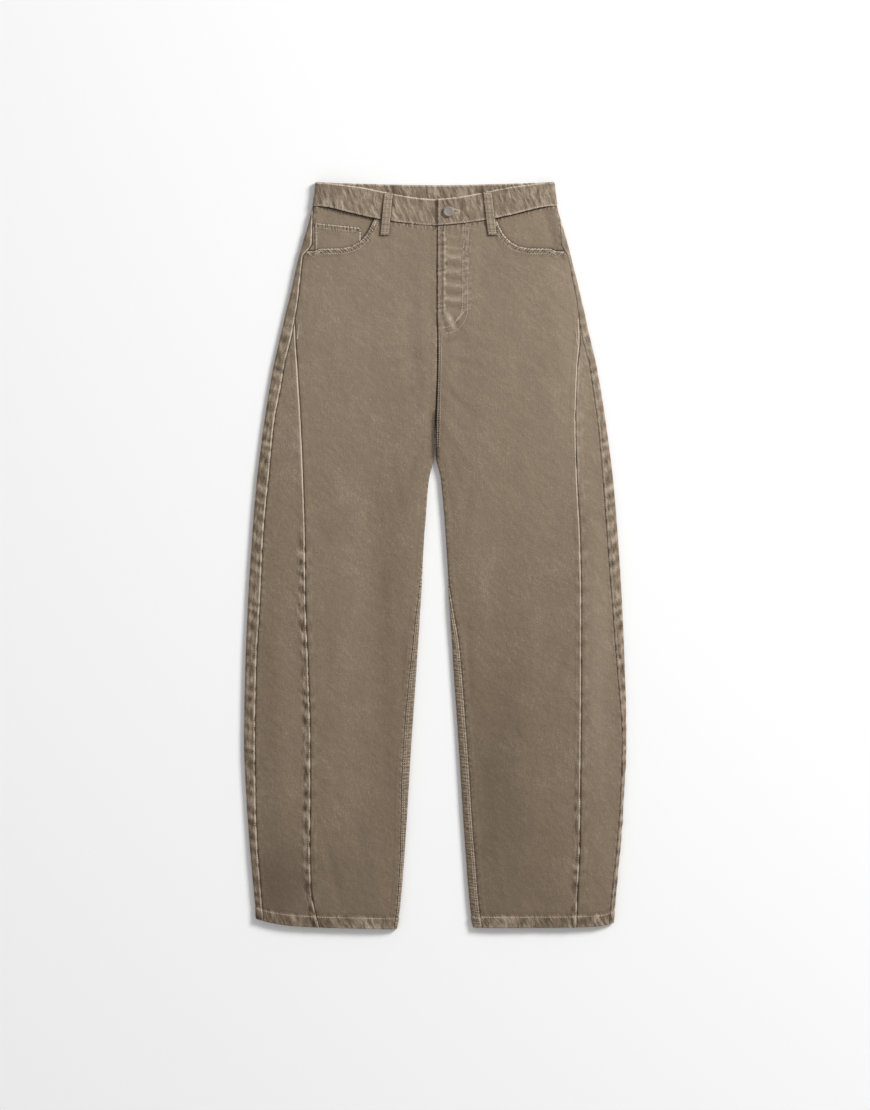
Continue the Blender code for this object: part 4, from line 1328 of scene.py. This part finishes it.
def pocket_stitches():
    """Double lines beside the pocket mouths and on the coin pocket, with bartacks at the ends."""
    thread = Thread()
    for leg in (RIGHT, LEFT):
        a = np.concatenate([between(84.5, 90, 40), between(90.2, 166, 200)])
        d = pocket_mouth(a)
        slope = (pocket_mouth(a + 1) - pocket_mouth(a - 1)) / 2
        run = np.hypot(1, slope)
        for away in (2.0, 7.6):
            across, drop = a - away * slope / run, d + away / run
            keep = (drop > waist["front_seam"](across) + 1.5) & (across < outseam_line[leg](drop) - 1)
            thread.line(front_surface, leg, way_to(leg, across[keep], drop[keep]), drop[keep], pitch=3.0)
        thread.bartack(front_surface, leg, *straight(leg, 158, 96.5, 166, 101), width=2.6)
        thread.bartack(front_surface, leg, *straight(leg, 81.5, 54, 84.5, 62), width=2.6)
        wedge = (188, 197, 190, 217) if leg == RIGHT else (194, 206, 196, 226)
        thread.bartack(front_surface, leg, *straight(leg, *wedge), width=2.4)
    size = COIN_POCKET
    for away in (1.8, 6.6):
        top = straight(
            RIGHT, size["inner"] + 2, size["top_inner"] + away, size["outer"] - 2, size["top_outer"] + away
        )
        thread.line(coin_surface, RIGHT, *top, pitch=2.8)
    for across, head in ((size["inner"] + 2, size["top_inner"]), (size["outer"] - 2, size["top_outer"])):
        thread.line(coin_surface, RIGHT, *straight(RIGHT, across, head + 2, across, size["bottom"] - 3))
    return thread.finish("pocket_stitching")


def band_stitches():
    """Lines near both edges of the waistband, round the whole waist, the buttonhole and the loops' ends."""
    thread = Thread()
    for leg, first, last in ((RIGHT, 4.5, 162.0), (LEFT, 6.5, 162.0)):
        across = between(first, last, 300)
        for drop in (waist["front_top"](across) + 2.2, waist["front_seam"](across) - 2.2):
            thread.line(band_surface, leg, way_to(leg, across, drop), drop, on_front=True)
        across = between(8.0, 162.0, 300)
        for drop in (waist["back_top"](across) + 2.2, waist["back_seam"](across) - 2.2):
            thread.line(band_surface, leg, 2 - way_to(leg, across, drop), drop, on_front=False)
    thread.line(band_surface, LEFT, *straight(LEFT, 6.6, 26.5, 6.6, 58.5), pitch=3.0, on_front=True)
    turn = between(0, 2 * math.pi, 90)
    across, drop = BUTTON_ACROSS + 5.5 + 9.0 * np.cos(turn), BUTTON_DROP + 2.3 * np.sin(turn)
    thread.bartack(band_surface, LEFT, way_to(LEFT, across, drop), drop, width=2.0, on_front=True)
    for leg in (RIGHT, LEFT):
        top = float(waist["front_top"](np.array(LOOP_ACROSS[leg][0]))) + 1.0
        for off in (-3.3, 3.3):
            drop = between(top + 3, LOOP_BOTTOM - 2, 120)
            thread.line(loop_surface, leg, np.full(120, off), drop, pitch=3.0)
        for drop in (top + 2.4, LOOP_BOTTOM - 2.6):
            thread.bartack(loop_surface, leg, between(-4.8, 4.8, 60), np.full(60, drop), width=2.4)
    return thread.finish("waist_stitching")


def back_stitches():
    """The double line of the back's centre seam."""
    thread = Thread()
    drop = between(50, 340, 300)
    for away in (2.0, 7.5):
        thread.line(back_surface, LEFT, inseam(LEFT, away)(drop), drop)
    return thread.finish("back_stitching")


def make_button():
    """A turned cap: a dished middle inside a raised rim, a rolled edge and a short shank, from a profile of
    radius and height turned about the button's axis."""
    profile = np.array([
        (0.0, 2.05), (1.6, 2.08), (3.0, 2.10), (4.0, 2.14), (4.6, 2.26), (5.0, 2.42),
        (5.5, 2.52), (6.1, 2.50), (6.6, 2.36), (7.0, 2.05), (7.2, 1.6), (7.2, 1.0),
        (7.05, 0.5), (6.6, 0.1), (5.4, 0.0), (3.6, 0.0), (3.6, -1.0), (0.0, -1.0),
    ])
    steps = 72
    turn = np.arange(steps) * 2 * math.pi / steps
    radius, height = profile[:, 0:1], profile[:, 1:2]
    points = np.stack([radius * np.cos(turn), radius * np.sin(turn), height + 0 * turn], -1)
    at = np.arange(len(profile) * steps).reshape(len(profile), steps)
    onward = np.roll(at, -1, axis=1)
    quads = np.stack([at[:-1], at[1:], onward[1:], onward[:-1]], -1).reshape(-1, 4)
    seat_way = way_to(LEFT, np.array(BUTTON_ACROSS), np.array(BUTTON_DROP))
    seat = skin(LEFT, seat_way, np.array(BUTTON_DROP), BAND_PROUD + float(band_lift(LEFT, BUTTON_ACROSS)))
    points = points.reshape(-1, 3) + seat + np.array([0, 0, SEAM_GAP + SHANK_LENGTH])
    obj = new_mesh("button_cap", points, quads, "button_metal")
    weld = obj.modifiers.new("weld", "WELD")
    weld.merge_threshold = 0.00001
    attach(obj, "root")
    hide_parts("button")
    return obj


# Materials


class Socket:
    """A value in a material's node tree that can be added, multiplied and compared like a number."""

    def __init__(self, tree, source):
        self.tree, self.source = tree, source

    def _math(self, operation, *values):
        node = self.tree.nodes.new("ShaderNodeMath")
        node.operation = operation
        for entry, value in zip(node.inputs, values):
            if isinstance(value, Socket):
                self.tree.links.new(value.source, entry)
            else:
                entry.default_value = value
        return Socket(self.tree, node.outputs[0])

    def __add__(self, other):
        return self._math("ADD", self, other)

    def __radd__(self, other):
        return self._math("ADD", other, self)

    def __sub__(self, other):
        return self._math("SUBTRACT", self, other)

    def __rsub__(self, other):
        return self._math("SUBTRACT", other, self)

    def __mul__(self, other):
        return self._math("MULTIPLY", self, other)

    def __rmul__(self, other):
        return self._math("MULTIPLY", other, self)

    def __neg__(self):
        return self._math("MULTIPLY", self, -1.0)

    def sine(self):
        return self._math("SINE", self)

    def clamped(self):
        node = self.tree.nodes.new("ShaderNodeClamp")
        self.tree.links.new(self.source, node.inputs[0])
        return Socket(self.tree, node.outputs[0])

    def step(self, start, end):
        """0 at the start, 1 at the end, and smooth between."""
        node = self.tree.nodes.new("ShaderNodeMapRange")
        node.interpolation_type = "SMOOTHSTEP"
        self.tree.links.new(self.source, node.inputs["Value"])
        node.inputs["From Min"].default_value = start
        node.inputs["From Max"].default_value = end
        return Socket(self.tree, node.outputs[0])


class Finisher:
    """Makes one material's nodes: settings first, then values or links."""

    def __init__(self, name):
        self.material = bpy.data.materials.new(name)
        self.material.use_nodes = True
        self.tree = self.material.node_tree
        self.shader = self.tree.nodes["Principled BSDF"]

    def node(self, kind, output=0, inputs=(), **chosen):
        made = self.tree.nodes.new(kind)
        for name, value in chosen.items():
            setattr(made, name, value)
        for key, value in dict(inputs).items():
            self.feed(made.inputs[key], value)
        return Socket(self.tree, made.outputs[output])

    def feed(self, entry, value):
        if isinstance(value, Socket):
            self.tree.links.new(value.source, entry)
        else:
            entry.default_value = value

    def attribute(self, name):
        return self.node("ShaderNodeAttribute", "Fac", attribute_name=name)

    def place(self):
        return self.node("ShaderNodeTexCoord", "Object")

    def parts(self, vector):
        """The first two parts of a vector."""
        made = self.tree.nodes.new("ShaderNodeSeparateXYZ")
        self.feed(made.inputs[0], vector)
        return Socket(self.tree, made.outputs[0]), Socket(self.tree, made.outputs[1])

    def vector(self, x, y, z=0.0):
        return self.node("ShaderNodeCombineXYZ", 0, {0: x, 1: y, 2: z})

    def stretched(self, vector, scale):
        return self.node(
            "ShaderNodeVectorMath", 0, {0: vector, 1: scale}, operation="MULTIPLY"
        )

    def noise(self, vector, scale, detail=2.0, roughness=0.5):
        values = {"Vector": vector, "Scale": scale, "Detail": detail, "Roughness": roughness}
        return self.node("ShaderNodeTexNoise", "Fac", values)

    def mix(self, share, first, second):
        made = self.tree.nodes.new("ShaderNodeMix")
        made.data_type = "RGBA"
        self.feed(made.inputs[0], share)
        self.feed(made.inputs[6], first)
        self.feed(made.inputs[7], second)
        return Socket(self.tree, made.outputs[2])

    def bump(self, height, distance, strength=1.0, under=None):
        made = self.tree.nodes.new("ShaderNodeBump")
        made.inputs["Strength"].default_value = strength
        made.inputs["Distance"].default_value = distance
        self.feed(made.inputs["Height"], height)
        if under is not None:
            self.feed(made.inputs["Normal"], under)
        return Socket(self.tree, made.outputs[0])

    def use(self, **inputs):
        for name, value in inputs.items():
            self.feed(self.shader.inputs[name.replace("_", " ").title()], value)


def shade(colour):
    return (*colour[:3], 1.0)


def twill_material():
    """Washed twill: a mottled base, dark and light puckers beside seams, worn edges with a painted highlight,
    painted shade in seam ditches and under lapped edges, patches of painted light and shade, and a fine
    weave.
    """
    chosen = settings()
    make = Finisher("washed_twill")
    place = make.place()
    along, away = make.parts(make.node("ShaderNodeUVMap", 0, uv_map="seam"))
    x, y = make.parts(place)
    pucker, wear, tone = make.attribute("pucker"), make.attribute("wear"), make.attribute("tone")
    lap, roped = make.attribute("lap"), make.attribute("roped")

    # Puckers beside seams: a wave along the seam whose spacing and reach are uneven.
    drift = make.noise(make.vector(along * 0.42, 3.0), 1.0, 1.0) - 0.5
    spread = make.noise(make.vector(along, away * 0.12), 1.6, 2.0) - 0.5
    wave = ((along + drift * 2.2 + away * 0.03) * (2 * math.pi)).sine()
    puckered = (wave * 0.45 + spread * 3.6 - 0.12) * pucker

    # Roping on the band and the hems: leaning ripples across the strip.
    bent = make.noise(place, 46.0, 2.0) - 0.5
    rope_place = make.vector(x + y * 0.35 + bent * 0.012, y * 0.3)
    rope = (make.noise(rope_place, 190.0, 2.0, 0.55) - 0.5) * 3.6 * roped

    mottle = make.noise(place, 20.0, 4.0, 0.62) - 0.5
    slant = make.vector(x + y, (x - y) * 0.35)
    crumpled = make.noise(slant, 120.0, 3.0, 0.6) - 0.5
    grain = make.noise(place, 420.0, 3.0, 0.65) - 0.5
    yarn = make.noise(make.stretched(place, (1.0, 0.14, 1.0)), 800.0, 2.0, 0.6) - 0.5
    worked = mottle * 0.42 + crumpled * 0.34 + grain * 0.80 + yarn * 0.45

    # Painted shade in each seam's ditch and painted shadow on the piece that lies under a seam's edge; the
    # upper piece's edge gets a light line, wear with a painted highlight.
    under = (-lap).clamped()
    edge = away.step(0.05, 0.5) * (1.0 - away.step(1.2, 2.3)) * lap.step(0.0, 1.6)
    ditch_shade = (1.0 - away.step(0.15, 0.7)) * 0.7 + (1.0 - away.step(0.6, 1.9)) * under * 0.62
    # Shares of the lighter and darker colours: wear, puckers, roping and the weave's mottling, with the
    # painted highlights and painted shade that the wear attribute and the seam lines carry.
    lighter_share = wear + puckered * 0.60 + rope * 0.50 + edge * 1.3 + worked - 0.03
    darker_share = ditch_shade - wear * 1.2 - puckered * 0.95 - rope * 0.75 - worked - 0.03
    colour = make.mix(lighter_share.clamped(), shade(chosen.cloth_colour), shade(chosen.worn_colour))
    colour = make.mix(darker_share.clamped(), colour, shade(chosen.deep_colour))
    # Painted light and shade with the wash's fading: lighter patches mix towards the worn and lit colour,
    # darker ones towards the deep and shade colour.
    colour = make.mix(tone.clamped() * 0.9, colour, shade(chosen.worn_colour))
    colour = make.mix((-tone).clamped() * 1.6, colour, shade(chosen.deep_colour))

    crumb = make.noise(place, 75.0, 3.0, 0.6)
    weave = ((x - y) * (2 * math.pi / (chosen.weave_pitch * math.sqrt(2)))).sine()
    normal = make.bump(puckered + rope, chosen.pucker_height)
    normal = make.bump(crumb + crumpled * 0.35, 0.0022, 0.6, normal)
    normal = make.bump(grain + yarn * 0.8 + weave * 0.10, 0.00030, 0.7, normal)
    make.use(base_color=colour, roughness=0.9, normal=normal)
    make.shader.inputs["Specular IOR Level"].default_value = 0.25
    make.shader.inputs["Sheen Weight"].default_value = 0.12
    make.shader.inputs["Sheen Roughness"].default_value = 0.5
    return make.material


def thread_material():
    """Thick cotton thread, dyed with the cloth and a little paler."""
    make = Finisher("topstitch_thread")
    place = make.place()
    twist = make.noise(place, 1500.0, 1.0)
    shade_of = make.noise(place, 60.0, 2.0)
    thread = shade(settings().thread_colour)
    colour = make.mix(shade_of.step(0.3, 0.75), tuple(0.62 * c for c in thread[:3]) + (1.0,), thread)
    make.use(base_color=colour, roughness=0.8, normal=make.bump(twist, 0.0001, 0.6))
    return make.material


def metal_material():
    """Dull grey-brown metal, rubbed brighter in places."""
    make = Finisher("button_metal")
    place = make.place()
    lighter_share = make.noise(place, 900.0, 3.0)
    metal = settings().metal_colour
    colour = make.mix(lighter_share.step(0.3, 0.7), shade([0.85 * c for c in metal]), shade([1.1 * c for c in metal]))
    rubbed = make.bump(lighter_share, 0.00004, 0.3)
    make.use(base_color=colour, metallic=0.35, roughness=lighter_share * 0.2 + 0.5, normal=rubbed)
    return make.material


def floor_material():
    """A pale, matt surface."""
    make = Finisher("pale_floor")
    make.use(base_color=shade(settings().floor_colour), roughness=0.95)
    return make.material


made_materials = {}


def cloth_materials():
    """The materials by slot, made once."""
    if not made_materials:
        made_materials["twill"] = twill_material()
        made_materials["thread"] = thread_material()
        made_materials["button_metal"] = metal_material()
    return made_materials


# The stage: the photograph's view covers this much of the floor, and looks straight down.
VIEW_WIDTH, VIEW_HEIGHT = 1.2006, 1.5318
LENS, SENSOR = 150.0, 36.0
KEY = {"place": (4.2, 3.0, 3.4), "side": 1.9, "power": 384}
FILL = {"place": (-2.6, -0.6, 2.6), "side": 2.4, "power": 10}
STUDIO_LIGHT, FLOOR_REACH, LENS_SHIFT = 0.42, 6000.0, 0.0008


def area_light(name, place, side, power):
    """A square lamp that points at the middle of the garment."""
    lamp = bpy.data.lights.new(name, "AREA")
    lamp.shape = "SQUARE"
    lamp.size = side
    lamp.energy = power
    obj = bpy.data.objects.new(name, lamp)
    obj.location = place
    way = -np.array(place)
    obj.rotation_euler = (math.acos(-way[2] / np.linalg.norm(way)), 0.0, math.atan2(-way[0], way[1]))
    bpy.context.scene.collection.objects.link(obj)


def make_stage():
    """Floor, soft light from the upper right, and a camera straight above."""
    scene = bpy.context.scene
    floor = sheet_faces(2, 2)
    corners = FLOOR_REACH * np.array([(-1, 1, 0), (1, 1, 0), (-1, -1, 0), (1, -1, 0)], float)
    mesh = bpy.data.meshes.new("floor")
    mesh.from_pydata((corners * MM).tolist(), [], floor.tolist())
    mesh.materials.append(floor_material())
    ground = bpy.data.objects.new("floor", mesh)
    scene.collection.objects.link(ground)
    area_light("key", **KEY)
    area_light("fill", **FILL)
    world = bpy.data.worlds.new("studio")
    world.use_nodes = True
    backdrop = world.node_tree.nodes["Background"]
    backdrop.inputs["Color"].default_value = (1.0, 1.0, 1.0, 1.0)
    backdrop.inputs["Strength"].default_value = STUDIO_LIGHT
    scene.world = world
    scene.view_settings.view_transform = "Standard"
    lens = bpy.data.cameras.new("camera")
    lens.sensor_width, lens.lens = SENSOR, LENS
    lens.clip_start, lens.clip_end = 0.1, 50.0
    camera = bpy.data.objects.new("camera", lens)
    height = (VIEW_HEIGHT / 2) / (SENSOR / 2 / LENS)
    camera.location = (0.0, LENS_SHIFT, height)
    scene.collection.objects.link(camera)
    scene.camera = camera


class TROUSERS_OT_fronts(bpy.types.Operator):
    """Make both fronts"""

    bl_idname = "trousers.fronts"
    bl_label = "Fronts"

    def execute(self, context):
        for leg in (RIGHT, LEFT):
            make_front(leg)
        return {"FINISHED"}


class TROUSERS_OT_side_panels(bpy.types.Operator):
    """Make the wedges that round the legs"""

    bl_idname = "trousers.side_panels"
    bl_label = "Side panels"

    def execute(self, context):
        for leg in (RIGHT, LEFT):
            make_side_panel(leg)
        return {"FINISHED"}


class TROUSERS_OT_backs(bpy.types.Operator):
    """Make both backs"""

    bl_idname = "trousers.backs"
    bl_label = "Backs"

    def execute(self, context):
        for leg in (RIGHT, LEFT):
            make_back(leg)
        return {"FINISHED"}


class TROUSERS_OT_pockets(bpy.types.Operator):
    """Make the pocket facings and the coin pocket"""

    bl_idname = "trousers.pockets"
    bl_label = "Pockets"

    def execute(self, context):
        for leg in (RIGHT, LEFT):
            make_facing(leg)
        make_coin_pocket()
        return {"FINISHED"}


class TROUSERS_OT_waist(bpy.types.Operator):
    """Make the waistband, its belt loops and the button"""

    bl_idname = "trousers.waist"
    bl_label = "Waistband, loops and button"

    def execute(self, context):
        make_waistband()
        for leg in (RIGHT, LEFT):
            make_belt_loop(leg)
        make_button()
        return {"FINISHED"}


class TROUSERS_OT_stitching(bpy.types.Operator):
    """Make all the topstitching and bartacks"""

    bl_idname = "trousers.stitching"
    bl_label = "Stitching"

    def execute(self, context):
        seam_stitches()
        fly_stitches()
        pocket_stitches()
        band_stitches()
        back_stitches()
        return {"FINISHED"}


class TROUSERS_OT_stage(bpy.types.Operator):
    """Make the floor, the lights and the camera"""

    bl_idname = "trousers.stage"
    bl_label = "Stage"

    def execute(self, context):
        make_stage()
        return {"FINISHED"}


STEPS = [
    TROUSERS_OT_fronts,
    TROUSERS_OT_side_panels,
    TROUSERS_OT_backs,
    TROUSERS_OT_pockets,
    TROUSERS_OT_waist,
    TROUSERS_OT_stitching,
    TROUSERS_OT_stage,
]


class TROUSERS_PT_panel(bpy.types.Panel):
    """Lists the steps and the settings"""

    bl_idname = "TROUSERS_PT_panel"
    bl_label = "Barrel Leg Trousers"
    bl_space_type = "VIEW_3D"
    bl_region_type = "UI"
    bl_category = "Trousers"

    def draw(self, context):
        for step in STEPS:
            self.layout.operator(step.bl_idname)
        for name in TrousersSettings.__annotations__:
            self.layout.prop(context.scene.trousers, name)


CLASSES = [TrousersSettings, *STEPS, TROUSERS_PT_panel]


def register():
    for made in CLASSES:
        bpy.utils.register_class(made)
    bpy.types.Scene.trousers = bpy.props.PointerProperty(type=TrousersSettings)


def unregister():
    del bpy.types.Scene.trousers
    for made in reversed(CLASSES):
        bpy.utils.unregister_class(made)


def main():
    register()
    bpy.ops.trousers.fronts()
    bpy.ops.trousers.side_panels()
    bpy.ops.trousers.backs()
    bpy.ops.trousers.pockets()
    bpy.ops.trousers.waist()
    bpy.ops.trousers.stitching()
    bpy.ops.trousers.stage()


if __name__ == "__main__":
    main()
